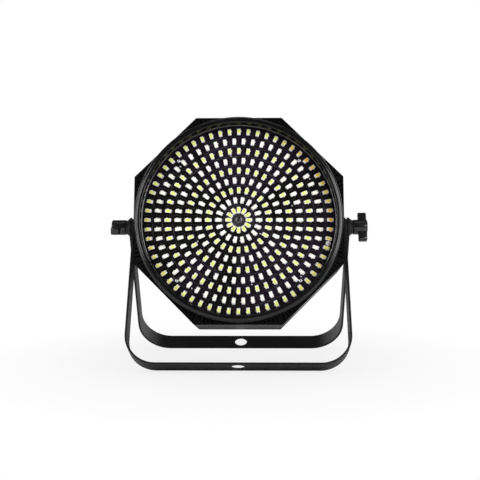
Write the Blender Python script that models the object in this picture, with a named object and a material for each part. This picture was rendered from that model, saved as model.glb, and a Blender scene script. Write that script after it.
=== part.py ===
"""An LED par can that stands on two nested U brackets.

The head is an octagonal housing with rings of surface-mounted lamps. It turns between the
brackets on two screws, and a knob on each side clamps head and brackets together.

Head, brackets and their pieces are modelled as seen from the front: x to the right, y up,
z forwards, with the pivot axis along x. Empties on that axis tilt them to the rest pose.
The origin is on the floor, under the middle of the standing light.
"""

import math

import bmesh
import bpy
from mathutils import Matrix, Vector

# Clearances
GAP = 0.0003
TURNING_GAP = 0.0005
PRESS_TRAVEL = 0.0010

# Edges sharper than these are chamfered, or shaded sharp
BEVEL_ANGLE = math.radians(40)
SHADING_ANGLE = math.radians(30)
MERGE_DISTANCE = 0.000001

# Octagonal head
HEAD_ACROSS_FLATS = 0.206
HEAD_CORNER_RADIUS = 0.0015
HEAD_CORNER_STEPS = 2
HEAD_TILT = math.radians(11.4)
HEAD_RISE = 0.0016
WALL = 0.0025
HOUSING_DEPTH = 0.075
HOUSING_BACK_ROUNDING = 0.003
HOUSING_ROUNDING_STEPS = 3

# Front cover with its edge lip and corner vents
COVER_FRONT = 0.0346
COVER_THICKNESS = 0.0026
COVER_LIP_WIDTH = 0.0010
COVER_LIP_HEIGHT = 0.0006
COVER_BEZEL_OVERLAP = 0.0012
VENTS_PER_SIDE = 5
VENT_WIDTH = 0.0013
VENT_PITCH = 0.0039
VENT_FIRST = 0.0032
VENT_EDGE_MARGIN = 0.0014
VENT_RIM_MARGIN = 0.0006

# Bezel ring
BEZEL_EDGE_MARGIN = 0.0018
BEZEL_WIDTH = 0.0060
BEZEL_HEIGHT = 0.0114
BEZEL_SKIRT_WALL = 0.0026
ROUND_STEPS = 56
BEAD_STEPS = 6
HOLE_STEPS = 16
SMALL_STEPS = 10
POST_STEPS = 8

# Lamp board, counted in rings from the centre
RING_COUNT = 9
RING_PITCH = 0.0100
LAMPS_ADDED_PER_RING = 6
LAMP_LENGTH = 0.0057
LAMP_WIDTH = 0.0030
LAMP_HEIGHT = 0.0009
BOARD_RECESS = 0.0160
BOARD_THICKNESS = 0.0016
LENS_THICKNESS = 0.0020
GASKET_THICKNESS = 0.0030
GASKET_WIDTH = 0.0014

# Screws on the lamp board
CENTRE_HEAD_RADIUS = 0.0037
CENTRE_HEAD_HEIGHT = 0.0018
CENTRE_SHANK_RADIUS = 0.0018
CENTRE_SHANK_LENGTH = 0.0085
CENTRE_WASHER_RADIUS = 0.0062
CENTRE_WASHER_THICKNESS = 0.0005
BOARD_SCREW_INSET = 0.0118
BOARD_SCREW_COUNT = 4
BOARD_HEAD_RADIUS = 0.0018
BOARD_HEAD_HEIGHT = 0.0012
BOARD_SHANK_RADIUS = 0.0011
BOARD_SHANK_LENGTH = 0.0060
SENSOR_RADIUS = 0.0025
SENSOR_HEIGHT = 0.0020
SENSOR_INSET = 0.0063
SENSOR_ANGLE = math.radians(-15)
HEAD_SIDE_SHARE = 0.55
HEAD_CROWN_SHARE = 0.70
CROSS_REACH_SHARE = 0.55
CROSS_WIDTH_SHARE = 0.18
DOME_SIDE_SHARE = 0.85
DOME_CROWN_SHARE = 0.75

# Heat sink
SINK_PLATE = 0.0030
FIN_COUNT = 9
FIN_PITCH = 0.0150
FIN_THICKNESS = 0.0016
FIN_HEIGHT = 0.0120
FIN_MARGIN = 0.0060
CABLE_HOLE_RADIUS = 0.0040
CABLE_FIN_GAP = -3.5

# Posts and ribs inside the housing
POST_RADIUS = 0.0042
POST_CIRCLE = 0.1041
POST_WELL_RADIUS = 0.0028
POST_END = 0.0030
COVER_BOSS_LENGTH = 0.0100
COVER_BOSS_RADIUS = 0.0036
RIB_THICKNESS = 0.0025
RIB_LENGTH = 0.0140
HOUSING_SCREW_RADIUS = 0.0014
HOUSING_SCREW_LENGTH = 0.0100
HOUSING_HEAD_RADIUS = 0.0024
HOUSING_HEAD_HEIGHT = 0.0018

# Brackets: sheet straps bent to a U, the front one nesting in the rear one
STRAP_WIDTH = 0.0200
SHEET = 0.0020
FRONT_DROP = 0.1482
FRONT_ANGLE = math.radians(28.0)
FRONT_BEND_RADIUS = 0.0300
NEST_GAP = 0.0017
CLAMP_HOLE_RADIUS = 0.00665
EDGE_CHAMFER = 0.0004
BEND_STEPS = 6

# Pivot screws, washers and knobs
SCREW_RADIUS = 0.0040
INSERT_RADIUS = 0.0065
INSERT_LENGTH = 0.0120
BOSS_WALL = 0.0030
INNER_WASHER_THICKNESS = 0.0020
FRICTION_WASHER_THICKNESS = 0.0013
OUTER_WASHER_THICKNESS = 0.0014
WASHER_RADIUS = 0.0085
KNOB_RADIUS = 0.0068
KNOB_LENGTH = 0.0162
KNOB_SOCKET_DEPTH = 0.0100
BAR_LENGTH = 0.0310
BAR_WIDTH = 0.0085
BAR_THICKNESS = 0.0080
BAR_CHAMFER = 0.0006
BAR_INSET = 0.0005
KNOB_STEPS = 20
RIGHT_KNOB_TURN = math.radians(-27)
LEFT_KNOB_TURN = math.radians(-105)

# Cooling fan behind the grille
FAN_SIZE = 0.060
FAN_DEPTH = 0.0150
FAN_BORE_RADIUS = 0.0280
FAN_HUB_RADIUS = 0.0125
FAN_BASE_THICKNESS = 0.0020
FAN_ARM_WIDTH = 0.0030
FAN_SHAFT_RADIUS = 0.0015
FAN_BLADES = 7
FAN_BLADE_CHORD = 0.0110
FAN_BLADE_THICKNESS = 0.0012
FAN_BLADE_PITCH = math.radians(38)
FAN_TIP_GAP = 0.0008
FAN_HEIGHT_ON_BACK = 0.0220
GRILLE_PITCH = 0.0060
GRILLE_SLOT = 0.0034
GRILLE_RIB = 0.0040
GRILLE_MARGIN = 0.0010

# Side vents in the back wall
SIDE_VENT_COUNT = 6
SIDE_VENT_LENGTH = 0.0300
SIDE_VENT_WIDTH = 0.0032
SIDE_VENT_PITCH = 0.0080
SIDE_VENT_OFFSET = 0.0640
SIDE_VENT_HEIGHT = 0.0300

# Control board, display and menu buttons
CONTROL_HEIGHT = -0.0260
CONTROL_BOARD_SIZE = (0.116, 0.022)
CONTROL_STANDOFF = 0.0080
DISPLAY_OFFSET = -0.0300
DISPLAY_SIZE = (0.036, 0.015)
DISPLAY_PROUD = 0.0005
DISPLAY_RECESS = 0.0008
DISPLAY_FRAME = 0.0015
BUTTON_COUNT = 4
BUTTON_PITCH = 0.0125
BUTTON_FIRST = 0.0080
BUTTON_RADIUS = 0.0034
BUTTON_PROUD = 0.0018
BUTTON_FLANGE = 0.0010
BUTTON_FLANGE_THICKNESS = 0.0010
SWITCH_SIZE = 0.0060
SWITCH_HEIGHT = 0.0035

# Sockets along the lower part of the back
SOCKET_HEIGHT = -0.0600
SOCKET_FLANGE = 0.0020
SIGNAL_IN_OFFSET = -0.0520
SIGNAL_OUT_OFFSET = -0.0180
SIGNAL_FLANGE_SIZE = (0.0260, 0.0310)
SIGNAL_BODY_RADIUS = 0.0116
SIGNAL_BODY_DEPTH = 0.0200
SIGNAL_CAVITY_RADIUS = 0.0092
SIGNAL_CAVITY_DEPTH = 0.0150
SIGNAL_PLUG_RADIUS = 0.0070
SIGNAL_POLES = 3
SIGNAL_PIN_CIRCLE = 0.0035
SIGNAL_PIN_RADIUS = 0.00125
SIGNAL_PIN_LENGTH = 0.0095
SIGNAL_PIN_HOLE_RADIUS = 0.0017
FUSE_OFFSET = 0.0120
FUSE_BODY_RADIUS = 0.0060
FUSE_BODY_DEPTH = 0.0240
FUSE_FLANGE_RADIUS = 0.0080
FUSE_CAP_RADIUS = 0.0066
FUSE_CAP_HEIGHT = 0.0050
FUSE_STEM_RADIUS = 0.0035
FUSE_STEM_LENGTH = 0.0160
FUSE_SLOT_WIDTH = 0.0012
POWER_OFFSET = 0.0450
POWER_FLANGE_SIZE = (0.0340, 0.0270)
POWER_BODY_SIZE = (0.0280, 0.0200)
POWER_BODY_DEPTH = 0.0200
POWER_CAVITY_SIZE = (0.0246, 0.0166)
POWER_CAVITY_DEPTH = 0.0160
POWER_BLADE_SIZE = (0.0020, 0.0040)
POWER_BLADE_LENGTH = 0.0100
POWER_BLADE_SPREAD = 0.0070
POWER_BLADE_RISE = 0.0020

# Power supply and lamp driver boards on either side of the fan
CIRCUIT_BOARD = 0.0016
SIDE_BOARD_SIZE = (0.046, 0.068)
SIDE_BOARD_OFFSET = 0.0600
SIDE_BOARD_HEIGHT = 0.0200
SIDE_BOARD_STANDOFF = 0.0060
STANDOFF_RADIUS = 0.0025
STANDOFF_INSET = 0.0050
PART_STEPS = 14

# Power supply parts: place from the board's middle, then size across, up and out
TRANSFORMER_PLACE = (0.0040, 0.0040)
TRANSFORMER_SIZE = (0.0240, 0.0200, 0.0180)
LARGE_CAPACITOR_PLACE = (-0.0080, 0.0240)
LARGE_CAPACITOR_RADIUS = 0.0065
LARGE_CAPACITOR_HEIGHT = 0.0220
SMALL_CAPACITOR_PLACE = (0.0120, 0.0250)
SMALL_CAPACITOR_RADIUS = 0.0050
SMALL_CAPACITOR_HEIGHT = 0.0160
TRANSISTOR_SINK_PLACE = (-0.0140, -0.0180)
TRANSISTOR_SINK_SIZE = (0.0060, 0.0180, 0.0160)
OUTPUT_BLOCK_PLACE = (0.0080, -0.0240)
OUTPUT_BLOCK_SIZE = (0.0160, 0.0080, 0.0100)

# Driver board parts: a row of coils with a transistor beside each
DRIVER_COUNT = 4
DRIVER_PITCH = 0.0140
COIL_OFFSET = -0.0100
COIL_RADIUS = 0.0055
COIL_HEIGHT = 0.0090
TRANSISTOR_OFFSET = 0.0140
TRANSISTOR_SIZE = (0.0050, 0.0090, 0.0040)

# Safety eye at the top of the back
EYE_HEIGHT = 0.0780
EYE_ROD_RADIUS = 0.0020
EYE_INNER_RADIUS = 0.0065
EYE_REACH = 0.0090
EYE_PLATE_SIZE = (0.0260, 0.0100)
EYE_PLATE_THICKNESS = 0.0015
EYE_BEND_STEPS = 8
EYE_ROD_STEPS = 10

# Cables inside the head
LAMP_CABLE_RADIUS = 0.0018
MAINS_CABLE_RADIUS = 0.0022
CABLE_STRAIGHT = 0.0050
CABLE_STEPS = 3
LAMP_CABLE_SLACK = 0.0050
MAINS_CABLE_END = (-0.0030, -0.0130)
MAINS_CABLE_FIRST_BEND = (0.0060, 0.0220, 0.0160)
MAINS_CABLE_SECOND_BEND = (-0.0020, -0.0180, 0.0100)

# Planes across the head, from the front to the back
COVER_BACK = COVER_FRONT - COVER_THICKNESS
BEZEL_BASE = COVER_FRONT + GAP
BEZEL_TOP = COVER_FRONT + BEZEL_HEIGHT
BOARD_FRONT = BEZEL_TOP - BOARD_RECESS
BOARD_BACK = BOARD_FRONT - BOARD_THICKNESS
GASKET_BACK = BOARD_FRONT + GAP
LENS_BACK = GASKET_BACK + GASKET_THICKNESS + GAP
LENS_FRONT = LENS_BACK + LENS_THICKNESS
SINK_FRONT = BOARD_BACK - GAP
SINK_BACK = SINK_FRONT - SINK_PLATE
HOUSING_FRONT = COVER_BACK - GAP
HOUSING_BACK = HOUSING_FRONT - HOUSING_DEPTH
HOUSING_INSIDE = HOUSING_BACK + WALL
SOCKET_SEAT = HOUSING_BACK - GAP

# Radii around the optical axis, from the octagon's flats inwards
HEAD_HALF_WIDTH = HEAD_ACROSS_FLATS / 2
BEZEL_OUTER_RADIUS = HEAD_HALF_WIDTH - BEZEL_EDGE_MARGIN
BEZEL_INNER_RADIUS = BEZEL_OUTER_RADIUS - BEZEL_WIDTH
COVER_HOLE_RADIUS = BEZEL_OUTER_RADIUS - COVER_BEZEL_OVERLAP
SKIRT_RADIUS = COVER_HOLE_RADIUS - GAP
POCKET_RADIUS = SKIRT_RADIUS - BEZEL_SKIRT_WALL
DISC_RADIUS = POCKET_RADIUS - GAP
BOARD_SCREW_CIRCLE = DISC_RADIUS - BOARD_SCREW_INSET
SENSOR_CIRCLE = DISC_RADIUS - SENSOR_INSET

# Stations along the pivot axis, from the head outwards
FRONT_HALF_WIDTH = HEAD_HALF_WIDTH + INNER_WASHER_THICKNESS + 2 * GAP + SHEET
REAR_HALF_WIDTH = FRONT_HALF_WIDTH + FRICTION_WASHER_THICKNESS + 2 * GAP + SHEET
KNOB_SEAT = REAR_HALF_WIDTH + OUTER_WASHER_THICKNESS + 2 * GAP

# The rear bracket's strap passes under the front one, and both feet touch the floor
REAR_DROP = FRONT_DROP + NEST_GAP + SHEET
REAR_BEND_RADIUS = FRONT_BEND_RADIUS + NEST_GAP + SHEET
FOOT_HALF_WIDTH = STRAP_WIDTH / 2 - EDGE_CHAMFER
PIVOT_HEIGHT = FRONT_DROP * math.cos(FRONT_ANGLE) + FOOT_HALF_WIDTH * math.sin(FRONT_ANGLE)
REAR_FOOT_RADIUS = math.hypot(REAR_DROP, FOOT_HALF_WIDTH)
REAR_ANGLE = math.acos(PIVOT_HEIGHT / REAR_FOOT_RADIUS) + math.atan2(FOOT_HALF_WIDTH, REAR_DROP)


def foot_reach(drop, angle):
    """How far a bracket's foot stands out from under the pivot axis."""
    return (drop - EDGE_CHAMFER) * math.sin(angle) + STRAP_WIDTH / 2 * math.cos(angle)


PIVOT_DEPTH = (foot_reach(FRONT_DROP, FRONT_ANGLE) - foot_reach(REAR_DROP, REAR_ANGLE)) / 2

HALF_CORNER = math.radians(22.5)
CORNER_ANGLES = [HALF_CORNER * (2 * corner + 1) for corner in range(8)]
POST_CORNERS = [CORNER_ANGLES[1], CORNER_ANGLES[2], CORNER_ANGLES[5], CORNER_ANGLES[6]]
RIB_CORNERS = [CORNER_ANGLES[0], CORNER_ANGLES[3], CORNER_ANGLES[4], CORNER_ANGLES[7]]

# Colour, roughness and metallic value of each material
MATERIALS = {
    "black_plastic": ((0.012, 0.012, 0.013), 0.45, 0.0),
    "satin_plastic": ((0.030, 0.030, 0.032), 0.35, 0.0),
    "gloss_plastic": ((0.010, 0.010, 0.011), 0.15, 0.0),
    "powder_coat": ((0.015, 0.015, 0.016), 0.50, 0.3),
    "clear_lens": ((0.90, 0.92, 0.93), 0.05, 0.0),
    "rubber": ((0.02, 0.02, 0.02), 0.80, 0.0),
    "lamp_board": ((0.020, 0.018, 0.022), 0.25, 0.0),
    "white_lamp": ((0.85, 0.85, 0.82), 0.30, 0.0),
    "phosphor_lamp": ((0.80, 0.82, 0.35), 0.35, 0.0),
    "bright_steel": ((0.75, 0.75, 0.76), 0.20, 1.0),
    "zinc_steel": ((0.55, 0.56, 0.58), 0.35, 1.0),
    "brass": ((0.72, 0.55, 0.25), 0.30, 1.0),
    "aluminium": ((0.62, 0.63, 0.65), 0.35, 1.0),
    "nylon": ((0.70, 0.69, 0.65), 0.55, 0.0),
    "circuit_board": ((0.02, 0.16, 0.06), 0.40, 0.0),
    "sensor": ((0.70, 0.66, 0.72), 0.25, 0.0),
    "display_glass": ((0.03, 0.005, 0.006), 0.10, 0.0),
    "red_wire": ((0.45, 0.02, 0.02), 0.50, 0.0),
    "black_wire": ((0.02, 0.02, 0.02), 0.50, 0.0),
}


def clear_scene():
    for obj in list(bpy.data.objects):
        bpy.data.objects.remove(obj, do_unlink=True)


def solid(bm):
    """Turns a finished bmesh into a loose object."""
    bmesh.ops.recalc_face_normals(bm, faces=bm.faces)
    mesh = bpy.data.meshes.new("solid")
    bm.to_mesh(mesh)
    bm.free()
    obj = bpy.data.objects.new("solid", mesh)
    bpy.context.scene.collection.objects.link(obj)
    return obj


def prism(points, low, high):
    """A closed outline in x and y, extruded along z."""
    bm = bmesh.new()
    floor = bm.faces.new([bm.verts.new((x, y, low)) for x, y in points])
    grown = bmesh.ops.extrude_face_region(bm, geom=[floor])
    top = [item for item in grown["geom"] if isinstance(item, bmesh.types.BMVert)]
    bmesh.ops.translate(bm, verts=top, vec=(0, 0, high - low))
    return solid(bm)


def lofted(sections):
    """A solid through outlines of equally many points, each given with its z."""
    bm = bmesh.new()
    rings = [[bm.verts.new((x, y, z)) for x, y in points] for points, z in sections]
    for lower, upper in zip(rings, rings[1:]):
        for index in range(len(lower)):
            bm.faces.new((lower[index - 1], lower[index], upper[index], upper[index - 1]))
    bm.faces.new(rings[0])
    bm.faces.new(rings[-1])
    return solid(bm)


def turned(profile, steps):
    """A profile of (radius, z) points, turned about z."""
    bm = bmesh.new()
    points = [bm.verts.new((radius, 0, z)) for radius, z in profile]
    edges = []
    for index, point in enumerate(points):
        on_axis = profile[index][0] == 0 and profile[index - 1][0] == 0
        if not on_axis:
            edges.append(bm.edges.new((points[index - 1], point)))
    bmesh.ops.spin(
        bm, geom=points + edges, cent=(0, 0, 0), axis=(0, 0, 1),
        angle=math.tau, steps=steps, use_merge=True,
    )
    bmesh.ops.remove_doubles(bm, verts=bm.verts, dist=MERGE_DISTANCE)
    return solid(bm)


def circle(radius, steps, centre=(0, 0)):
    turns = [math.tau * step / steps for step in range(steps)]
    return [(centre[0] + radius * math.cos(a), centre[1] + radius * math.sin(a)) for a in turns]


def rectangle(size, centre=(0, 0)):
    half_x, half_y = size[0] / 2, size[1] / 2
    corners = [(-half_x, -half_y), (half_x, -half_y), (half_x, half_y), (-half_x, half_y)]
    return [(centre[0] + x, centre[1] + y) for x, y in corners]


def octagon(across_flats, corner_radius):
    """A regular octagon with flats at the top, bottom and sides, its corners rounded."""
    centre_radius = (across_flats / 2 - corner_radius) / math.cos(HALF_CORNER)
    points = []
    for angle in CORNER_ANGLES:
        centre = Vector((math.cos(angle), math.sin(angle))) * centre_radius
        for step in range(HEAD_CORNER_STEPS + 1):
            turn = angle + HALF_CORNER * (2 * step / HEAD_CORNER_STEPS - 1)
            offset = Vector((math.cos(turn), math.sin(turn))) * corner_radius
            points.append(tuple(centre + offset))
    return points


def arc(centre, radius, start, end, steps):
    turns = [start + (end - start) * step / steps for step in range(steps + 1)]
    return [(centre[0] + radius * math.cos(a), centre[1] + radius * math.sin(a)) for a in turns]


def tube(outer, inner, low, high, steps):
    return turned([(inner, low), (outer, low), (outer, high), (inner, high)], steps)


def moved(obj, matrix):
    obj.data.transform(matrix)
    return obj


def shifted(obj, x, y, z):
    return moved(obj, Matrix.Translation((x, y, z)))


def along_x(obj):
    """Turns a solid so that its z axis lies along +x."""
    return moved(obj, Matrix.Rotation(math.radians(90), 4, "Y"))


def combined(target, tools, operation):
    """Applies one Boolean after another and removes the tools."""
    for tool in tools:
        modifier = target.modifiers.new("combine", "BOOLEAN")
        modifier.operation = operation
        modifier.solver = "EXACT"
        modifier.object = tool
        graph = bpy.context.evaluated_depsgraph_get()
        mesh = bpy.data.meshes.new_from_object(target.evaluated_get(graph))
        target.modifiers.clear()
        target.data = mesh
        bpy.data.objects.remove(tool, do_unlink=True)
    return target


def cut(target, *tools):
    return combined(target, tools, "DIFFERENCE")


def joined(target, *tools):
    return combined(target, tools, "UNION")


def bundle(parts):
    """Several loose solids that don't touch, as one cutting tool."""
    bm = bmesh.new()
    for part in parts:
        bm.from_mesh(part.data)
        bpy.data.objects.remove(part, do_unlink=True)
    return solid(bm)


def bevelled(obj, width):
    modifier = obj.modifiers.new("bevel", "BEVEL")
    modifier.width = width
    modifier.segments = 1
    modifier.limit_method = "ANGLE"
    modifier.angle_limit = BEVEL_ANGLE
    return obj


def material(name):
    found = bpy.data.materials.get(name)
    if found:
        return found
    colour, roughness, metallic = MATERIALS[name]
    made = bpy.data.materials.new(name)
    made.use_nodes = True
    shader = made.node_tree.nodes["Principled BSDF"]
    shader.inputs["Base Color"].default_value = (*colour, 1)
    shader.inputs["Roughness"].default_value = roughness
    shader.inputs["Metallic"].default_value = metallic
    made.diffuse_color = (*colour, 1)
    return made


def piece(name, obj, look, parent, location=(0, 0, 0), turn=None):
    """Names a finished solid, gives it its material and hangs it on its parent."""
    obj.name = name
    obj.data.name = name
    own = material(look).copy()
    own.name = name
    obj.data.materials.clear()
    obj.data.materials.append(own)
    obj.parent = parent
    obj.location = location
    if turn is not None:
        obj.rotation_euler = turn.to_euler()
    obj.data.shade_smooth()
    obj.data.set_sharp_from_angle(angle=SHADING_ANGLE)
    return obj


def frame_on_pivot(name, tilt):
    """An empty on the pivot axis whose z axis faces forwards, tilted up by an angle."""
    empty = bpy.data.objects.new(name, None)
    bpy.context.scene.collection.objects.link(empty)
    empty.location = (0, PIVOT_DEPTH, PIVOT_HEIGHT)
    empty.rotation_euler = (math.radians(90) - tilt, 0, 0)
    return empty


def head_outline(offset):
    """The head's octagon, drawn in by an offset."""
    corner = max(HEAD_CORNER_RADIUS - offset, HEAD_CORNER_RADIUS / 2)
    return octagon(HEAD_ACROSS_FLATS - 2 * offset, corner)


def octagon_prism(offset, low, high):
    return prism(head_outline(offset), low, high)


def front_cover():
    lip_top = COVER_FRONT + COVER_LIP_HEIGHT
    plate = octagon_prism(0, COVER_BACK, lip_top)
    plate = cut(plate, octagon_prism(COVER_LIP_WIDTH, COVER_FRONT, lip_top + WALL))
    low = COVER_BACK - COVER_BOSS_LENGTH
    bosses = []
    holes = [prism(circle(COVER_HOLE_RADIUS, ROUND_STEPS), low - WALL, lip_top + WALL)]
    for place in post_places():
        boss = circle(COVER_BOSS_RADIUS, SMALL_STEPS, place)
        bosses.append(prism(boss, low, COVER_BACK + COVER_THICKNESS / 2))
        bore = circle(HOUSING_SCREW_RADIUS + GAP, SMALL_STEPS, place)
        holes.append(prism(bore, low - WALL, COVER_BACK))
    plate = joined(plate, *bosses)
    return cut(plate, bundle(holes), bundle(corner_vents()))


def corner_vents():
    """Radial slots on both sides of each corner, between the bezel and the edge lip."""
    slots = []
    inner = BEZEL_OUTER_RADIUS + VENT_RIM_MARGIN
    for corner in CORNER_ANGLES:
        for side in (-1, 1):
            for index in range(VENTS_PER_SIDE):
                offset = (VENT_FIRST + index * VENT_PITCH) / inner
                edge = HEAD_HALF_WIDTH / math.cos(HALF_CORNER - offset)
                outer = edge - COVER_LIP_WIDTH - VENT_EDGE_MARGIN
                outline = rectangle((outer - inner, VENT_WIDTH), ((inner + outer) / 2, 0))
                slot = prism(outline, COVER_BACK - WALL, COVER_FRONT + WALL)
                slots.append(moved(slot, Matrix.Rotation(corner + side * offset, 4, "Z")))
    return slots


def bezel_ring():
    """A round bead in front, a glossy inner wall and a skirt that holds the lens and board."""
    bead_radius = BEZEL_WIDTH / 2
    bead_centre = (BEZEL_INNER_RADIUS + bead_radius, BEZEL_TOP - bead_radius)
    bead = arc(bead_centre, bead_radius, 0, math.pi, BEAD_STEPS)
    profile = [
        (SKIRT_RADIUS, SINK_BACK),
        (SKIRT_RADIUS, BEZEL_BASE),
        (BEZEL_OUTER_RADIUS, BEZEL_BASE),
        *bead,
        (BEZEL_INNER_RADIUS, LENS_FRONT + GAP),
        (POCKET_RADIUS, LENS_FRONT + GAP),
        (POCKET_RADIUS, SINK_BACK),
    ]
    return turned(profile, ROUND_STEPS)


def lamp_blocks():
    """The lamp packages, long side outwards, sunk a little into the board for the join."""
    lamps = []
    for number in range(1, RING_COUNT + 1):
        count = LAMPS_ADDED_PER_RING * (number + 1)
        start = math.radians(90) if number % 2 else math.radians(90) + math.pi / count
        outline = rectangle((LAMP_LENGTH, LAMP_WIDTH), (number * RING_PITCH, 0))
        for index in range(count):
            lamp = prism(outline, BOARD_FRONT - BOARD_THICKNESS / 2, BOARD_FRONT + LAMP_HEIGHT)
            turn = start + index * math.tau / count
            lamps.append(moved(lamp, Matrix.Rotation(turn, 4, "Z")))
    return lamps


def screw_places(circle_radius, count):
    turns = [math.radians(45) + math.tau * index / count for index in range(count)]
    return [(circle_radius * math.cos(turn), circle_radius * math.sin(turn)) for turn in turns]


def lamp_board():
    """The board with its rings of lamps: phosphor lamps on odd rings, white ones on even rings."""
    disc = prism(circle(DISC_RADIUS, ROUND_STEPS), BOARD_BACK, BOARD_FRONT)
    holes = [prism(circle(CENTRE_SHANK_RADIUS + GAP, SMALL_STEPS), BOARD_BACK - WALL, BOARD_FRONT + WALL)]
    for place in screw_places(BOARD_SCREW_CIRCLE, BOARD_SCREW_COUNT):
        hole = circle(BOARD_SHANK_RADIUS + GAP, SMALL_STEPS, place)
        holes.append(prism(hole, BOARD_BACK - WALL, BOARD_FRONT + WALL))
    return joined(cut(disc, bundle(holes)), bundle(lamp_blocks()))


def colour_lamps(board):
    """Gives the lamps' faces their own materials, ring by ring."""
    board.data.materials.append(material("phosphor_lamp"))
    board.data.materials.append(material("white_lamp"))
    for face in board.data.polygons:
        if face.center.z > BOARD_FRONT + LAMP_HEIGHT / 4:
            ring = round(math.hypot(face.center.x, face.center.y) / RING_PITCH)
            face.material_index = 1 if ring % 2 else 2


def pan_screw(head_radius, head_height, shank_radius, shank_length, steps):
    """A screw along z, its head's underside at z = 0."""
    return turned(
        [
            (0, -shank_length),
            (shank_radius, -shank_length),
            (shank_radius, 0),
            (head_radius, 0),
            (head_radius, head_height * HEAD_SIDE_SHARE),
            (head_radius * HEAD_CROWN_SHARE, head_height),
            (0, head_height),
        ],
        steps,
    )


def cross_recess(head_radius, head_height):
    """A cutter for the driver's cross in a pan head."""
    arm = head_radius * CROSS_REACH_SHARE
    width = head_radius * CROSS_WIDTH_SHARE
    outline = [
        (width, width), (arm, width), (arm, -width), (width, -width),
        (width, -arm), (-width, -arm), (-width, -width), (-arm, -width),
        (-arm, width), (-width, width), (-width, arm), (width, arm),
    ]
    return prism(outline, head_height / 2, head_height * 2)


def heat_sink():
    """A plate behind the lamp board with upright fins."""
    plate = prism(circle(DISC_RADIUS, ROUND_STEPS), SINK_BACK, SINK_FRONT)
    fins = []
    for index in range(FIN_COUNT):
        x = (index - (FIN_COUNT - 1) / 2) * FIN_PITCH
        reach = math.sqrt((DISC_RADIUS - FIN_MARGIN) ** 2 - x ** 2)
        outline = rectangle((FIN_THICKNESS, 2 * reach), (x, 0))
        fins.append(prism(outline, SINK_BACK - FIN_HEIGHT, SINK_BACK + SINK_PLATE / 2))
    sink = joined(plate, bundle(fins))
    low = SINK_BACK - FIN_HEIGHT - WALL
    holes = [
        prism(circle(CENTRE_SHANK_RADIUS + GAP, SMALL_STEPS), low, SINK_FRONT + WALL),
        prism(circle(CABLE_HOLE_RADIUS, SMALL_STEPS, lamp_cable_place()), low, SINK_FRONT + WALL),
    ]
    for place in screw_places(BOARD_SCREW_CIRCLE, BOARD_SCREW_COUNT):
        holes.append(prism(circle(BOARD_SHANK_RADIUS + GAP, SMALL_STEPS, place), low, SINK_FRONT + WALL))
    return cut(sink, bundle(holes))


def lamp_cable_place():
    """Midway between two fins, over the driver board's upper half."""
    return (CABLE_FIN_GAP * FIN_PITCH, SIDE_BOARD_HEIGHT)


def grille_slots():
    slots = []
    radius = FAN_BORE_RADIUS - GRILLE_MARGIN
    rows = int(radius / GRILLE_PITCH)
    for row in range(-rows, rows + 1):
        y = row * GRILLE_PITCH
        reach = math.sqrt(radius ** 2 - (abs(y) + GRILLE_SLOT / 2) ** 2)
        length = reach - GRILLE_RIB / 2
        for side in (-1, 1):
            centre = (side * (GRILLE_RIB + length) / 2, FAN_HEIGHT_ON_BACK + y)
            outline = rectangle((length, GRILLE_SLOT), centre)
            slots.append(prism(outline, HOUSING_BACK - WALL, HOUSING_INSIDE + WALL))
    return slots


def side_vents():
    slots = []
    for side in (-1, 1):
        for index in range(SIDE_VENT_COUNT):
            y = SIDE_VENT_HEIGHT + (index - (SIDE_VENT_COUNT - 1) / 2) * SIDE_VENT_PITCH
            outline = rectangle((SIDE_VENT_LENGTH, SIDE_VENT_WIDTH), (side * SIDE_VENT_OFFSET, y))
            slots.append(prism(outline, HOUSING_BACK - WALL, HOUSING_INSIDE + WALL))
    return slots


def button_places():
    return [(BUTTON_FIRST + index * BUTTON_PITCH, CONTROL_HEIGHT) for index in range(BUTTON_COUNT)]


def rear_cutouts():
    """Holes through the back wall for the display, buttons, fuse holder and sockets."""
    low = HOUSING_BACK - WALL
    high = HOUSING_INSIDE + WALL
    display = (DISPLAY_SIZE[0] + 2 * GAP, DISPLAY_SIZE[1] + 2 * GAP)
    power = (POWER_BODY_SIZE[0] + 2 * GAP, POWER_BODY_SIZE[1] + 2 * GAP)
    signal = SIGNAL_BODY_RADIUS + GAP
    holes = [
        prism(rectangle(display, (DISPLAY_OFFSET, CONTROL_HEIGHT)), low, high),
        prism(rectangle(power, (POWER_OFFSET, SOCKET_HEIGHT)), low, high),
        prism(circle(signal, HOLE_STEPS, (SIGNAL_IN_OFFSET, SOCKET_HEIGHT)), low, high),
        prism(circle(signal, HOLE_STEPS, (SIGNAL_OUT_OFFSET, SOCKET_HEIGHT)), low, high),
        prism(circle(FUSE_BODY_RADIUS + GAP, HOLE_STEPS, (FUSE_OFFSET, SOCKET_HEIGHT)), low, high),
    ]
    for place in button_places():
        holes.append(prism(circle(BUTTON_RADIUS + TURNING_GAP, HOLE_STEPS, place), low, high))
    return holes


def rear_housing():
    """An octagonal tub with screw posts, ribs behind the heat sink and a boss for each pivot insert."""
    shell = cut(rounded_block(), octagon_prism(WALL, HOUSING_INSIDE, HOUSING_FRONT + WALL))
    shell = joined(shell, *housing_posts(), *housing_ribs(), *pivot_bosses())
    tools = [bundle(pivot_bores()), bundle(post_wells()), bundle(grille_slots() + side_vents())]
    return cut(shell, *tools, bundle(rear_cutouts()))


def rounded_block():
    """The tub's outer shape, with a rounded edge between its back and its sides."""
    sections = []
    for step in range(HOUSING_ROUNDING_STEPS + 1):
        turn = math.radians(90) * step / HOUSING_ROUNDING_STEPS
        offset = HOUSING_BACK_ROUNDING * (1 - math.sin(turn))
        level = HOUSING_BACK + HOUSING_BACK_ROUNDING * (1 - math.cos(turn))
        sections.append((head_outline(offset), level))
    sections.append((head_outline(0), HOUSING_FRONT))
    return lofted(sections)


def post_front():
    """The posts end just behind the cover's bosses."""
    return COVER_BACK - COVER_BOSS_LENGTH - GAP


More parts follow.
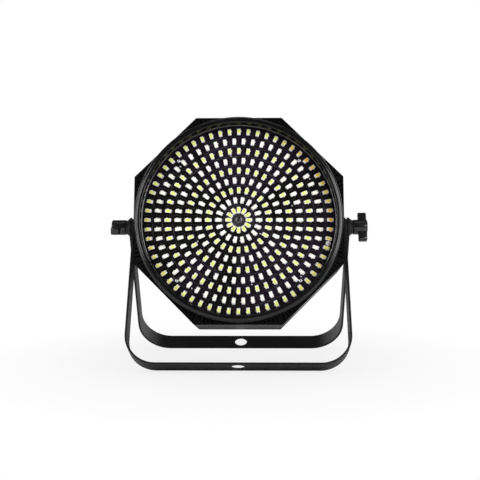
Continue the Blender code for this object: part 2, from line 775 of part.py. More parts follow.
def post_places():
    return [(POST_CIRCLE * math.cos(angle), POST_CIRCLE * math.sin(angle)) for angle in POST_CORNERS]


def housing_posts():
    outlines = [circle(POST_RADIUS, HOLE_STEPS, place) for place in post_places()]
    return [prism(outline, HOUSING_BACK + WALL / 2, post_front()) for outline in outlines]


def housing_ribs():
    """Radial ribs whose ends stand just behind the heat sink and bezel skirt."""
    ribs = []
    wall_radius = (HEAD_HALF_WIDTH - WALL / 2) / math.cos(HALF_CORNER)
    for angle in RIB_CORNERS:
        outline = rectangle((RIB_LENGTH, RIB_THICKNESS), (wall_radius - RIB_LENGTH / 2, 0))
        rib = prism(outline, HOUSING_BACK + WALL / 2, SINK_BACK - GAP)
        ribs.append(moved(rib, Matrix.Rotation(angle, 4, "Z")))
    return ribs


def on_both_sides(radius, inner, outer):
    """A cylinder along the pivot axis on the right, and its twin on the left."""
    outline = circle(radius, HOLE_STEPS)
    right = along_x(prism(outline, inner, outer))
    left = along_x(prism(outline, -outer, -inner))
    return [shifted(right, 0, -HEAD_RISE, 0), shifted(left, 0, -HEAD_RISE, 0)]


def pivot_bosses():
    """Bosses in from the side walls, on the pivot axis."""
    outer = HEAD_HALF_WIDTH - WALL / 2
    inner = outer - INSERT_LENGTH - BOSS_WALL
    return on_both_sides(INSERT_RADIUS + GAP + BOSS_WALL, inner, outer)


def pivot_bores():
    """Pockets for the inserts, open at the side faces."""
    inner = HEAD_HALF_WIDTH - INSERT_LENGTH - GAP
    return on_both_sides(INSERT_RADIUS + GAP, inner, HEAD_HALF_WIDTH + WALL)


def post_wells():
    """Deep wells from the back for the housing screws, each stepping down through its post's end."""
    wells = []
    bore = HOUSING_SCREW_RADIUS + GAP
    step = post_front() - POST_END
    for x, y in post_places():
        well = turned(
            [
                (0, HOUSING_BACK - WALL),
                (POST_WELL_RADIUS, HOUSING_BACK - WALL),
                (POST_WELL_RADIUS, step),
                (bore, step),
                (bore, post_front() + WALL),
                (0, post_front() + WALL),
            ],
            HOLE_STEPS,
        )
        wells.append(shifted(well, x, y, 0))
    return wells


def u_outline(half_width, drop, bend_radius, top):
    """The edge view of a strap bent to a U, its legs reaching up to a height."""
    left = (bend_radius - half_width, bend_radius - drop)
    right = (half_width - bend_radius, bend_radius - drop)
    down = 1.5 * math.pi
    inner_bend = bend_radius - SHEET
    return [
        (-half_width, top),
        *arc(left, bend_radius, math.pi, down, BEND_STEPS),
        *arc(right, bend_radius, down, math.tau, BEND_STEPS),
        (half_width, top),
        (half_width - SHEET, top),
        *arc(right, inner_bend, math.tau, down, BEND_STEPS),
        *arc(left, inner_bend, down, math.pi, BEND_STEPS),
        (SHEET - half_width, top),
    ]


def bracket(half_width, drop, bend_radius):
    """A U bracket: round leg ends on the pivot axis and a clamp hole in the middle of the strap."""
    half_strap = STRAP_WIDTH / 2
    strap = prism(u_outline(half_width, drop, bend_radius, STRAP_WIDTH), -STRAP_WIDTH, STRAP_WIDTH)
    end = arc((0, 0), half_strap, 0, math.pi, HOLE_STEPS // 2)
    side_view = [(-half_strap, -drop - STRAP_WIDTH), (half_strap, -drop - STRAP_WIDTH), *end]
    limit = along_x(prism(side_view, -half_width - STRAP_WIDTH, half_width + STRAP_WIDTH))
    strap = combined(strap, [limit], "INTERSECT")
    screw_outline = circle(SCREW_RADIUS + TURNING_GAP, HOLE_STEPS)
    screw_hole = prism(screw_outline, -half_width - SHEET, half_width + SHEET)
    clamp_hole = prism(circle(CLAMP_HOLE_RADIUS, ROUND_STEPS // 2), -drop - SHEET, 2 * SHEET - drop)
    clamp_hole = moved(clamp_hole, Matrix.Rotation(math.radians(-90), 4, "X"))
    strap = cut(strap, along_x(screw_hole), clamp_hole)
    return bevelled(strap, EDGE_CHAMFER)


def washer(thickness):
    return tube(WASHER_RADIUS, SCREW_RADIUS + TURNING_GAP, 0, thickness, HOLE_STEPS)


def knob(turn):
    """A barrel with a T bar across its outer end, its seat at z = 0."""
    barrel = prism(circle(KNOB_RADIUS, KNOB_STEPS), 0, KNOB_LENGTH)
    bar_end = KNOB_LENGTH - BAR_INSET
    bar = prism(rectangle((BAR_LENGTH, BAR_THICKNESS)), bar_end - BAR_WIDTH, bar_end)
    body = joined(barrel, moved(bar, Matrix.Rotation(turn, 4, "Z")))
    socket = prism(circle(SCREW_RADIUS + GAP, HOLE_STEPS), -WALL, KNOB_SOCKET_DEPTH)
    return bevelled(cut(body, socket), BAR_CHAMFER)


def knob_screw():
    """A plain stud from the knob's socket through the brackets into the head's insert."""
    high = KNOB_SOCKET_DEPTH - GAP
    low = HEAD_HALF_WIDTH - INSERT_LENGTH + GAP - KNOB_SEAT
    return prism(circle(SCREW_RADIUS, HOLE_STEPS), low, high)


def pivot_insert():
    """A brass sleeve in the side wall, flush with it."""
    return tube(INSERT_RADIUS, SCREW_RADIUS + GAP, -INSERT_LENGTH, -GAP, HOLE_STEPS)


def fan_frame():
    """A square frame round the rotor, with a motor base on four arms and a shaft."""
    low = HOUSING_INSIDE + GAP
    base = low + FAN_BASE_THICKNESS
    frame = prism(rectangle((FAN_SIZE, FAN_SIZE)), low, low + FAN_DEPTH)
    bore = circle(FAN_BORE_RADIUS, ROUND_STEPS // 2)
    frame = cut(frame, prism(bore, low - WALL, low + FAN_DEPTH + WALL))
    across = FAN_SIZE - WALL
    diagonal = Matrix.Rotation(math.radians(45), 4, "Z")
    arms = joined(
        prism(circle(FAN_HUB_RADIUS, HOLE_STEPS), low, base),
        moved(prism(rectangle((across, FAN_ARM_WIDTH)), low, base), diagonal),
        moved(prism(rectangle((FAN_ARM_WIDTH, across)), low, base), diagonal),
        prism(circle(FAN_SHAFT_RADIUS, SMALL_STEPS), base - FAN_BASE_THICKNESS / 2, low + FAN_DEPTH - WALL),
    )
    return joined(frame, arms)


def fan_rotor():
    """A hub with pitched blades, running on the shaft."""
    low = FAN_BASE_THICKNESS + 2 * GAP
    high = FAN_DEPTH - WALL / 2
    hub = tube(FAN_HUB_RADIUS, FAN_SHAFT_RADIUS + TURNING_GAP, low, high, HOLE_STEPS)
    tip = FAN_BORE_RADIUS - FAN_TIP_GAP
    root = FAN_HUB_RADIUS - WALL
    blades = []
    for index in range(FAN_BLADES):
        blade = prism(rectangle((FAN_BLADE_CHORD, FAN_BLADE_THICKNESS)), root, tip)
        blade = moved(blade, Matrix.Rotation(FAN_BLADE_PITCH, 4, "Z"))
        blade = moved(blade, Matrix.Rotation(math.radians(90), 4, "X"))
        blade = shifted(blade, 0, 0, (low + high) / 2)
        blades.append(moved(blade, Matrix.Rotation(math.tau * index / FAN_BLADES, 4, "Z")))
    swept = combined(bundle(blades), [prism(circle(tip, ROUND_STEPS // 2), 0, FAN_DEPTH)], "INTERSECT")
    return joined(hub, swept)


def circuit(size, centre, back, front, standoff_length):
    """A circuit board with a standoff near each corner, reaching to the back wall."""
    board = prism(rectangle(size, centre), back, front)
    for x_side in (-1, 1):
        for y_side in (-1, 1):
            x = centre[0] + x_side * (size[0] / 2 - STANDOFF_INSET)
            y = centre[1] + y_side * (size[1] / 2 - STANDOFF_INSET)
            outline = circle(STANDOFF_RADIUS, POST_STEPS, (x, y))
            post = prism(outline, back - standoff_length, (back + front) / 2)
            board = joined(board, post)
    return board


def control_board():
    """The board behind the display and menu buttons, with a switch under each button."""
    back = HOUSING_INSIDE + CONTROL_STANDOFF
    front = back + CIRCUIT_BOARD
    board = circuit(CONTROL_BOARD_SIZE, (0, CONTROL_HEIGHT), back, front, CONTROL_STANDOFF - GAP)
    for place in button_places():
        outline = rectangle((SWITCH_SIZE, SWITCH_SIZE), place)
        board = joined(board, prism(outline, back - SWITCH_HEIGHT, (back + front) / 2))
    return board


def display():
    """The display module, from just proud of the back wall to the control board."""
    face = HOUSING_BACK - DISPLAY_PROUD
    centre = (DISPLAY_OFFSET, CONTROL_HEIGHT)
    block = prism(rectangle(DISPLAY_SIZE, centre), face, HOUSING_INSIDE + CONTROL_STANDOFF - GAP)
    window = (DISPLAY_SIZE[0] - 2 * DISPLAY_FRAME, DISPLAY_SIZE[1] - 2 * DISPLAY_FRAME)
    return cut(block, prism(rectangle(window, centre), face - WALL, face + DISPLAY_RECESS))


def menu_button():
    """A cap through the back wall, kept by a flange inside and ending short of its switch."""
    stem_end = WALL + CONTROL_STANDOFF - SWITCH_HEIGHT - PRESS_TRAVEL - GAP
    flange_low = WALL + GAP
    flange_high = flange_low + BUTTON_FLANGE_THICKNESS
    return joined(
        prism(circle(BUTTON_RADIUS, HOLE_STEPS), -BUTTON_PROUD, (flange_low + flange_high) / 2),
        prism(circle(BUTTON_RADIUS + BUTTON_FLANGE, SMALL_STEPS), flange_low, flange_high),
        prism(rectangle((BUTTON_RADIUS, BUTTON_RADIUS)), WALL, stem_end),
    )


def signal_socket(male):
    """A round three-pole signal socket on a flange; pins stand in a male one's well."""
    centre = (SIGNAL_IN_OFFSET if male else SIGNAL_OUT_OFFSET, SOCKET_HEIGHT)
    face = SOCKET_SEAT - SOCKET_FLANGE
    back = SOCKET_SEAT + SIGNAL_BODY_DEPTH
    body = joined(
        prism(rectangle(SIGNAL_FLANGE_SIZE, centre), face, SOCKET_SEAT),
        prism(circle(SIGNAL_BODY_RADIUS, HOLE_STEPS, centre), SOCKET_SEAT - SOCKET_FLANGE / 2, back),
    )
    floor = face + SIGNAL_CAVITY_DEPTH
    well = prism(circle(SIGNAL_CAVITY_RADIUS, HOLE_STEPS, centre), face - WALL, floor)
    poles = arc(centre, SIGNAL_PIN_CIRCLE, math.pi, math.tau, SIGNAL_POLES - 1)
    if male:
        outlines = [circle(SIGNAL_PIN_RADIUS, POST_STEPS, pole) for pole in poles]
        pins = [prism(outline, floor - SIGNAL_PIN_LENGTH, floor + WALL) for outline in outlines]
        return joined(cut(body, well), *pins)
    plug = prism(circle(SIGNAL_PLUG_RADIUS, HOLE_STEPS, centre), face - WALL - GAP, floor + WALL)
    outlines = [circle(SIGNAL_PIN_HOLE_RADIUS, POST_STEPS, pole) for pole in poles]
    holes = [prism(outline, face - WALL, face + SIGNAL_PIN_LENGTH) for outline in outlines]
    return cut(body, cut(well, plug), bundle(holes))


def power_inlet():
    """A mains inlet: a flanged well with three blades."""
    centre = (POWER_OFFSET, SOCKET_HEIGHT)
    face = SOCKET_SEAT - SOCKET_FLANGE
    back = SOCKET_SEAT + POWER_BODY_DEPTH
    body = joined(
        prism(rectangle(POWER_FLANGE_SIZE, centre), face, SOCKET_SEAT),
        prism(rectangle(POWER_BODY_SIZE, centre), SOCKET_SEAT - SOCKET_FLANGE / 2, back),
    )
    floor = face + POWER_CAVITY_DEPTH
    body = cut(body, prism(rectangle(POWER_CAVITY_SIZE, centre), face - WALL, floor))
    for step in (-1, 0, 1):
        rise = POWER_BLADE_RISE if step == 0 else -POWER_BLADE_RISE
        place = (centre[0] + step * POWER_BLADE_SPREAD, centre[1] + rise)
        blade = prism(rectangle(POWER_BLADE_SIZE, place), floor - POWER_BLADE_LENGTH, floor + WALL)
        body = joined(body, blade)
    return body


def fuse_holder():
    """A flanged tube through the back wall, open for the cap's stem."""
    face = SOCKET_SEAT - SOCKET_FLANGE
    bore = FUSE_STEM_RADIUS + TURNING_GAP
    return turned(
        [
            (bore, face),
            (FUSE_FLANGE_RADIUS, face),
            (FUSE_FLANGE_RADIUS, SOCKET_SEAT),
            (FUSE_BODY_RADIUS, SOCKET_SEAT),
            (FUSE_BODY_RADIUS, SOCKET_SEAT + FUSE_BODY_DEPTH),
            (bore, SOCKET_SEAT + FUSE_BODY_DEPTH),
        ],
        HOLE_STEPS,
    )


def fuse_cap():
    """A round cap with a coin slot and a stem that carries the fuse."""
    face = -SOCKET_FLANGE - GAP
    cap = turned(
        [
            (0, face - FUSE_CAP_HEIGHT),
            (FUSE_CAP_RADIUS, face - FUSE_CAP_HEIGHT),
            (FUSE_CAP_RADIUS, face),
            (FUSE_STEM_RADIUS, face),
            (FUSE_STEM_RADIUS, face + FUSE_STEM_LENGTH),
            (0, face + FUSE_STEM_LENGTH),
        ],
        HOLE_STEPS,
    )
    top = face - FUSE_CAP_HEIGHT
    slot = rectangle((4 * FUSE_CAP_RADIUS, FUSE_SLOT_WIDTH))
    return cut(cap, prism(slot, top - WALL, top + FUSE_SLOT_WIDTH))


def on_board(board_centre, place):
    return (board_centre[0] + place[0], board_centre[1] + place[1])


def block_on_board(board_centre, place, size, front):
    """A rectangular part standing on a board's front."""
    outline = rectangle(size[:2], on_board(board_centre, place))
    return prism(outline, front - CIRCUIT_BOARD / 2, front + size[2])


def can_on_board(board_centre, place, radius, height, front):
    """A round part standing on a board's front."""
    outline = circle(radius, PART_STEPS, on_board(board_centre, place))
    return prism(outline, front - CIRCUIT_BOARD / 2, front + height)


def power_supply():
    """The mains side's board: transformer, two capacitors, a transistor sink and an output block."""
    centre = (SIDE_BOARD_OFFSET, SIDE_BOARD_HEIGHT)
    back = HOUSING_INSIDE + SIDE_BOARD_STANDOFF
    front = back + CIRCUIT_BOARD
    return joined(
        circuit(SIDE_BOARD_SIZE, centre, back, front, SIDE_BOARD_STANDOFF - GAP),
        block_on_board(centre, TRANSFORMER_PLACE, TRANSFORMER_SIZE, front),
        can_on_board(centre, LARGE_CAPACITOR_PLACE, LARGE_CAPACITOR_RADIUS, LARGE_CAPACITOR_HEIGHT, front),
        can_on_board(centre, SMALL_CAPACITOR_PLACE, SMALL_CAPACITOR_RADIUS, SMALL_CAPACITOR_HEIGHT, front),
        block_on_board(centre, TRANSISTOR_SINK_PLACE, TRANSISTOR_SINK_SIZE, front),
        block_on_board(centre, OUTPUT_BLOCK_PLACE, OUTPUT_BLOCK_SIZE, front),
    )


def driver_board():
    """The lamp drivers: a row of coils with their transistors."""
    centre = (-SIDE_BOARD_OFFSET, SIDE_BOARD_HEIGHT)
    back = HOUSING_INSIDE + SIDE_BOARD_STANDOFF
    front = back + CIRCUIT_BOARD
    board = circuit(SIDE_BOARD_SIZE, centre, back, front, SIDE_BOARD_STANDOFF - GAP)
    for index in range(DRIVER_COUNT):
        y = (index - (DRIVER_COUNT - 1) / 2) * DRIVER_PITCH
        board = joined(
            board,
            can_on_board(centre, (COIL_OFFSET, y), COIL_RADIUS, COIL_HEIGHT, front),
            block_on_board(centre, (TRANSISTOR_OFFSET, y), TRANSISTOR_SIZE, front),
        )
    return board


def swept_tube(points, radius):
    """A round cable along a smooth curve through some points."""
    curve = bpy.data.curves.new("cable", "CURVE")
    curve.dimensions = "3D"
    curve.bevel_depth = radius
    curve.bevel_resolution = 1
    curve.use_fill_caps = True
    spline = curve.splines.new("POLY")
    smooth = smooth_points([Vector(point) for point in points], CABLE_STEPS)
    spline.points.add(len(smooth) - 1)
    for point, place in zip(spline.points, smooth):
        point.co = (*place, 1)
    source = bpy.data.objects.new("cable", curve)
    bpy.context.scene.collection.objects.link(source)
    graph = bpy.context.evaluated_depsgraph_get()
    mesh = bpy.data.meshes.new_from_object(source.evaluated_get(graph))
    bpy.data.objects.remove(source, do_unlink=True)
    bm = bmesh.new()
    bm.from_mesh(mesh)
    bmesh.ops.remove_doubles(bm, verts=bm.verts, dist=MERGE_DISTANCE)
    return solid(bm)


def smooth_points(points, steps):
    """Points along a Catmull-Rom curve through the given ones."""
    padded = [2 * points[0] - points[1], *points, 2 * points[-1] - points[-2]]
    result = []
    for index in range(1, len(padded) - 2):
        a, b, c, d = padded[index - 1:index + 3]
        for step in range(steps):
            t = step / steps
            square = (2 * a - 5 * b + 4 * c - d) * t ** 2
            cube = (3 * b - a - 3 * c + d) * t ** 3
            result.append((2 * b + (c - a) * t + square + cube) / 2)
    result.append(points[-1])
    return result


def lamp_cable():
    """From the driver board forwards through the heat sink to the back of the lamp board."""
    x, y = lamp_cable_place()
    low = HOUSING_INSIDE + SIDE_BOARD_STANDOFF + CIRCUIT_BOARD + GAP
    high = BOARD_BACK - GAP
    return swept_tube(
        [
            (x, y, low),
            (x, y, low + CABLE_STRAIGHT),
            (x, y, low + 2 * CABLE_STRAIGHT),
            (x, y + LAMP_CABLE_SLACK, (low + high) / 2),
            (x, y, SINK_BACK - FIN_HEIGHT),
            (x, y, high - CABLE_STRAIGHT),
            (x, y, high),
        ],
        LAMP_CABLE_RADIUS,
    )


def mains_cable():
    """From the back of the power inlet up to the power supply's board."""
    low = SOCKET_SEAT + POWER_BODY_DEPTH + GAP
    board = HOUSING_INSIDE + SIDE_BOARD_STANDOFF + CIRCUIT_BOARD + GAP
    start = (POWER_OFFSET, SOCKET_HEIGHT)
    end = on_board((SIDE_BOARD_OFFSET, SIDE_BOARD_HEIGHT), MAINS_CABLE_END)
    first_bend = MAINS_CABLE_FIRST_BEND
    second_bend = MAINS_CABLE_SECOND_BEND
    return swept_tube(
        [
            (*start, low),
            (*start, low + CABLE_STRAIGHT),
            (*start, low + 2 * CABLE_STRAIGHT),
            (start[0] + first_bend[0], start[1] + first_bend[1], low + first_bend[2]),
            (end[0] + second_bend[0], end[1] + second_bend[1], low + second_bend[2]),
            (*end, board + 2 * CABLE_STRAIGHT),
            (*end, board + CABLE_STRAIGHT),
            (*end, board),
        ],
        MAINS_CABLE_RADIUS,
    )


def safety_eye():
    """A bent rod on a small plate, for the safety wire."""
    base = SOCKET_SEAT
    bend = EYE_INNER_RADIUS + EYE_ROD_RADIUS
    plate = prism(rectangle(EYE_PLATE_SIZE, (0, EYE_HEIGHT)), base - EYE_PLATE_THICKNESS, base)
    crown = base - EYE_PLATE_THICKNESS - EYE_REACH
    points = [Vector((-bend, EYE_HEIGHT, base - EYE_PLATE_THICKNESS / 2))]
    for step in range(EYE_BEND_STEPS + 1):
        turn = math.pi * step / EYE_BEND_STEPS
        points.append(Vector((-bend * math.cos(turn), EYE_HEIGHT, crown - bend * math.sin(turn))))
    points.append(Vector((bend, EYE_HEIGHT, base - EYE_PLATE_THICKNESS / 2)))
    return joined(plate, rod_along(points, EYE_ROD_RADIUS, EYE_ROD_STEPS))


def rod_along(points, radius, sides):
    """A rod in one plane of constant y, square to each point's direction."""
    bm = bmesh.new()
    rings = []
    for index, point in enumerate(points):
        before = points[max(index - 1, 0)]
        after = points[min(index + 1, len(points) - 1)]
        along = (after - before).normalized()
        across = along.cross(Vector((0, 1, 0)))
        ring = []
        for step in range(sides):
            turn = math.tau * step / sides
            offset = across * (radius * math.cos(turn)) + Vector((0, radius * math.sin(turn), 0))
            ring.append(bm.verts.new(point + offset))
        rings.append(ring)
    for first, second in zip(rings, rings[1:]):
        for step in range(sides):
            after = (step + 1) % sides
            bm.faces.new((first[step], first[after], second[after], second[step]))
    bm.faces.new(rings[0])
    bm.faces.new(rings[-1])
    return solid(bm)


def build_optics(centre):
    """Everything that is centred on the octagon, from the front backwards."""
    piece("bezel_ring", bezel_ring(), "satin_plastic", centre)
    piece("front_cover", front_cover(), "black_plastic", centre)
    lens = prism(circle(DISC_RADIUS, ROUND_STEPS), LENS_BACK, LENS_FRONT)
    piece("lens", lens, "clear_lens", centre)
    gasket_front = GASKET_BACK + GASKET_THICKNESS
    gasket = tube(DISC_RADIUS, DISC_RADIUS - GASKET_WIDTH, GASKET_BACK, gasket_front, ROUND_STEPS)
    piece("lens_gasket", gasket, "rubber", centre)
    colour_lamps(piece("lamp_board", lamp_board(), "lamp_board", centre))
    pad_back = BOARD_FRONT + GAP
    pad_front = pad_back + CENTRE_WASHER_THICKNESS
    pad = tube(CENTRE_WASHER_RADIUS, CENTRE_SHANK_RADIUS + GAP, pad_back, pad_front, HOLE_STEPS)
    piece("centre_washer", pad, "rubber", centre)
    screw = pan_screw(
        CENTRE_HEAD_RADIUS, CENTRE_HEAD_HEIGHT, CENTRE_SHANK_RADIUS, CENTRE_SHANK_LENGTH, HOLE_STEPS,
    )
    screw = cut(screw, cross_recess(CENTRE_HEAD_RADIUS, CENTRE_HEAD_HEIGHT))
    piece("centre_screw", screw, "bright_steel", centre, (0, 0, pad_front + GAP))
    for index, (x, y) in enumerate(screw_places(BOARD_SCREW_CIRCLE, BOARD_SCREW_COUNT)):
        screw = pan_screw(
            BOARD_HEAD_RADIUS, BOARD_HEAD_HEIGHT, BOARD_SHANK_RADIUS, BOARD_SHANK_LENGTH, SMALL_STEPS,
        )
        piece(f"board_screw_{index + 1}", screw, "bright_steel", centre, (x, y, BOARD_FRONT + GAP))
    dome = turned(
        [
            (0, 0),
            (SENSOR_RADIUS, 0),
            (SENSOR_RADIUS, SENSOR_HEIGHT / 2),
            (SENSOR_RADIUS * DOME_CROWN_SHARE, SENSOR_HEIGHT * DOME_SIDE_SHARE),
            (0, SENSOR_HEIGHT),
        ],
        SMALL_STEPS,
    )
    x = SENSOR_CIRCLE * math.cos(SENSOR_ANGLE)
    y = SENSOR_CIRCLE * math.sin(SENSOR_ANGLE)
    piece("remote_sensor", dome, "sensor", centre, (x, y, BOARD_FRONT + GAP))
    piece("heat_sink", heat_sink(), "aluminium", centre)


def build_housing(centre):
    """The rear shell, its screws and what is fixed to its back wall."""
    piece("rear_housing", rear_housing(), "black_plastic", centre)
    seat = post_front() - POST_END - GAP
    facing_back = Matrix.Rotation(math.pi, 3, "X")
    for index, (x, y) in enumerate(post_places()):
        screw = pan_screw(
            HOUSING_HEAD_RADIUS, HOUSING_HEAD_HEIGHT, HOUSING_SCREW_RADIUS, HOUSING_SCREW_LENGTH, SMALL_STEPS,
        )
        piece(f"housing_screw_{index + 1}", screw, "zinc_steel", centre, (x, y, seat), facing_back)
    piece("fan_frame", fan_frame(), "black_plastic", centre, (0, FAN_HEIGHT_ON_BACK, 0))
    rotor_seat = (0, FAN_HEIGHT_ON_BACK, HOUSING_INSIDE + GAP)
    piece("fan_rotor", fan_rotor(), "black_plastic", centre, rotor_seat)
    piece("control_board", control_board(), "circuit_board", centre)
    piece("display", display(), "display_glass", centre)
    for index, (x, y) in enumerate(button_places()):
        piece(f"menu_button_{index + 1}", menu_button(), "gloss_plastic", centre, (x, y, HOUSING_BACK))
    piece("signal_in_socket", signal_socket(True), "black_plastic", centre)
    piece("signal_out_socket", signal_socket(False), "black_plastic", centre)
    piece("power_inlet", power_inlet(), "black_plastic", centre)
    fuse = shifted(fuse_holder(), FUSE_OFFSET, SOCKET_HEIGHT, 0)
    piece("fuse_holder", fuse, "black_plastic", centre)
    piece("fuse_cap", fuse_cap(), "gloss_plastic", centre, (FUSE_OFFSET, SOCKET_HEIGHT, SOCKET_SEAT))
    piece("power_supply", power_supply(), "circuit_board", centre)
    piece("driver_board", driver_board(), "circuit_board", centre)
    piece("lamp_cable", lamp_cable(), "red_wire", centre)
    piece("mains_cable", mains_cable(), "black_wire", centre)
    piece("safety_eye", safety_eye(), "zinc_steel", centre)


def build_side(name, sign, head, knob_turn):
    """The insert, washers, screw and knob on one side, each with its z axis away from the head."""
    upright = Matrix.Rotation(HEAD_TILT - math.radians(90), 3, "X")
    outward = upright @ Matrix.Rotation(sign * math.radians(90), 3, "Y")
    wall = (sign * HEAD_HALF_WIDTH, 0, 0)
    piece(f"pivot_insert_{name}", pivot_insert(), "brass", head, wall, outward)
    stations = (
        ("inner_washer", HEAD_HALF_WIDTH + GAP, INNER_WASHER_THICKNESS, "nylon"),
        ("friction_washer", FRONT_HALF_WIDTH + GAP, FRICTION_WASHER_THICKNESS, "nylon"),
        ("outer_washer", REAR_HALF_WIDTH + GAP, OUTER_WASHER_THICKNESS, "zinc_steel"),
    )
    for label, station, thickness, look in stations:
        piece(f"{label}_{name}", washer(thickness), look, head, (sign * station, 0, 0), outward)
    seat = (sign * KNOB_SEAT, 0, 0)
    piece(f"knob_screw_{name}", knob_screw(), "zinc_steel", head, seat, outward)
    piece(f"knob_{name}", knob(knob_turn), "black_plastic", head, seat, outward)


def build():
    clear_scene()
    head = frame_on_pivot("head_pivot", HEAD_TILT)
    centre = bpy.data.objects.new("head_centre", None)
    bpy.context.scene.collection.objects.link(centre)
    centre.parent = head
    centre.location = (0, HEAD_RISE, 0)
    build_optics(centre)
    build_housing(centre)
    front = frame_on_pivot("front_bracket_pivot", FRONT_ANGLE)
    rear = frame_on_pivot("rear_bracket_pivot", -REAR_ANGLE)
    strap = bracket(FRONT_HALF_WIDTH, FRONT_DROP, FRONT_BEND_RADIUS)
    piece("front_bracket", strap, "powder_coat", front)
    strap = bracket(REAR_HALF_WIDTH, REAR_DROP, REAR_BEND_RADIUS)
    piece("rear_bracket", strap, "powder_coat", rear)
    build_side("right", 1, head, RIGHT_KNOB_TURN)
    build_side("left", -1, head, LEFT_KNOB_TURN)


build()
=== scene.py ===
"""An LED par can on two nested brackets: its looks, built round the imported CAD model.

Pieces of the head are modelled as seen from the front, x to the right, y up and z forwards,
and turned into place by one matrix. Sizes are in metres, and those that the CAD source has too
repeat it, apart from a few small ones of the lamps and knobs.
"""

import math

import bmesh
import bpy
from mathutils import Matrix, Vector


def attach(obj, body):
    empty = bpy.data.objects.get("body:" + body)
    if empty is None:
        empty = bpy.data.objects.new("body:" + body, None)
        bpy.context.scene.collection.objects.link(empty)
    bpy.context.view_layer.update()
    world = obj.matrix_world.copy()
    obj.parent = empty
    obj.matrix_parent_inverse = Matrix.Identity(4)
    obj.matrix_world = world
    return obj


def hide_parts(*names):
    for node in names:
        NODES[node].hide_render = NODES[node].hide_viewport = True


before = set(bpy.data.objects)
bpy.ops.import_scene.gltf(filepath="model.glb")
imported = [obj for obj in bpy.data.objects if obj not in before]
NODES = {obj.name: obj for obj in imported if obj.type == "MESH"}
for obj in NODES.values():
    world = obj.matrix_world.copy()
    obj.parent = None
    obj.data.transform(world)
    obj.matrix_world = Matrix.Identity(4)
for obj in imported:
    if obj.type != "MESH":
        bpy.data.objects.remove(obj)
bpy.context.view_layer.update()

# Where the head and brackets turn, and how they are tilted at rest
PIVOT = Vector((0, -0.004002, 0.135360))
HEAD_TILT = math.radians(11.4)
HEAD_RISE = 0.0016
FRONT_ANGLE = math.radians(28.0)
REAR_ANGLE = math.radians(30.826)

# Clearance between pieces
GAP = 0.0003

# Levels across the head
BEZEL_BASE = 0.0349
BEZEL_TOP = 0.0460
LENS_BACK = 0.0336
LENS_FRONT = 0.0356
BOARD_FRONT = 0.0300
BOARD_BACK = 0.0284
SKIRT_BACK = 0.0251
EYE_BASE = -0.0436

# Radii round the optical axis
BEZEL_INNER = 0.0952
BEZEL_OUTER = 0.1012
SKIRT_RADIUS = 0.0997
POCKET_RADIUS = 0.0971
DISC_RADIUS = 0.0968
LENS_EDGE = 0.0004
BOARD_EDGE = 0.0002

# Bead where the lens meets the bezel, in bright metal that paints in the highlight of the lens
# edge (painted highlight)
BEAD_RADIUS = 0.0004
BEAD_OFFSET = 0.0001

# Lamps
RING_COUNT = 9
RING_PITCH = 0.0100
LAMPS_ADDED_PER_RING = 6
LAMP_LENGTH = 0.0057
LAMP_WIDTH = 0.0034
LAMP_HEIGHT = 0.0009
LAMP_NOTCH_WIDTH = 0.0010
LAMP_NOTCH_DEPTH = 0.0005

# A lamp's window: a rim and the window in it, and their levels above the package
WINDOW_RIM = (0.0042, 0.0030)
WINDOW_SIZE = (0.0036, 0.0023)
WINDOW_CORNER = 0.0005
WINDOW_FOOT = -0.0001
WINDOW_SHOULDER = 0.00003
WINDOW_TOP = 0.00006
WINDOW_SHIFT = 0.00012
OUTER_WINDOW_SHIFT = 0.00025

# Small blocks on the board: foot, shoulder and top above its face, and the chamfer's width
LAMP_BLOCK = (0, LAMP_HEIGHT - 0.00012, LAMP_HEIGHT), 0.0001
PAD_BLOCK = (-0.0001, 0.00012, 0.0002), 0.0002
TICK_BLOCK = (0, 0.0003, 0.00036), 0.0001
CHIP_BLOCK = (0, 0.0004, 0.00045), 0.00008
CAP_BLOCK = (0, 0.00046, 0.0005), 0.00006

# Solder pads at a lamp's ends, and the small part beside it
PAD_SIZE = (0.0012, 0.0028)
PAD_INSET = 0.0001
TICK_SIZE = (0.0013, 0.0006)
TICK_OFFSET = 0.0007
TICK_GAP = 0.0004

# Surface-mounted parts between the lamps: radius and angle on the board
CHIP_PLACES = (
    (0.0795, 137.0), (0.0815, 30.5), (0.0545, 15.2), (0.0815, -123.8), (0.0825, -42.8),
    (0.0335, 75.0), (0.0455, -152.0), (0.0650, -78.5), (0.0252, -33.0), (0.0655, 97.0),
)
CHIP_TURN = math.radians(35)
CHIP_SIZE = (0.0007, 0.0009)
CAP_SIZE = (0.00035, 0.00095)
CAP_OFFSET = 0.00052

# A pan head's straight side, dome, foot and cross recess, as shares of its height and radius
HEAD_SIDE = 0.45
DOME_POWER = 0.8
FOOT_RADIUS = 0.96
FOOT_HEIGHT = 0.05
CROSS_WIDTH = 0.26
CROSS_FLOOR = 0.4

# Screws, washer and sensor on the board
SEAT_LIFT = 0.0002
CENTRE_SCREW_LIFT = 0.0011
CENTRE_SCREW_TURN = math.radians(8)
CENTRE_PAD_PROFILE = (
    (0.0021, 0), (0.0062, 0), (0.0062, 0.00035), (0.0060, 0.00055), (0.0048, 0.0006),
    (0.0046, 0.00045), (0.0040, 0.00045), (0.0038, 0.0006), (0.0021, 0.0006),
)
BOARD_SCREW_COUNT = 4
BOARD_SCREW_CIRCLE = 0.0850
BOARD_SCREW_TWIST = 2.3
SENSOR_CIRCLE = 0.0905
SENSOR_ANGLE = math.radians(-15)
SENSOR_RADIUS = 0.0025
SENSOR_SIDE = 0.0008
SENSOR_CROWN = 0.0012

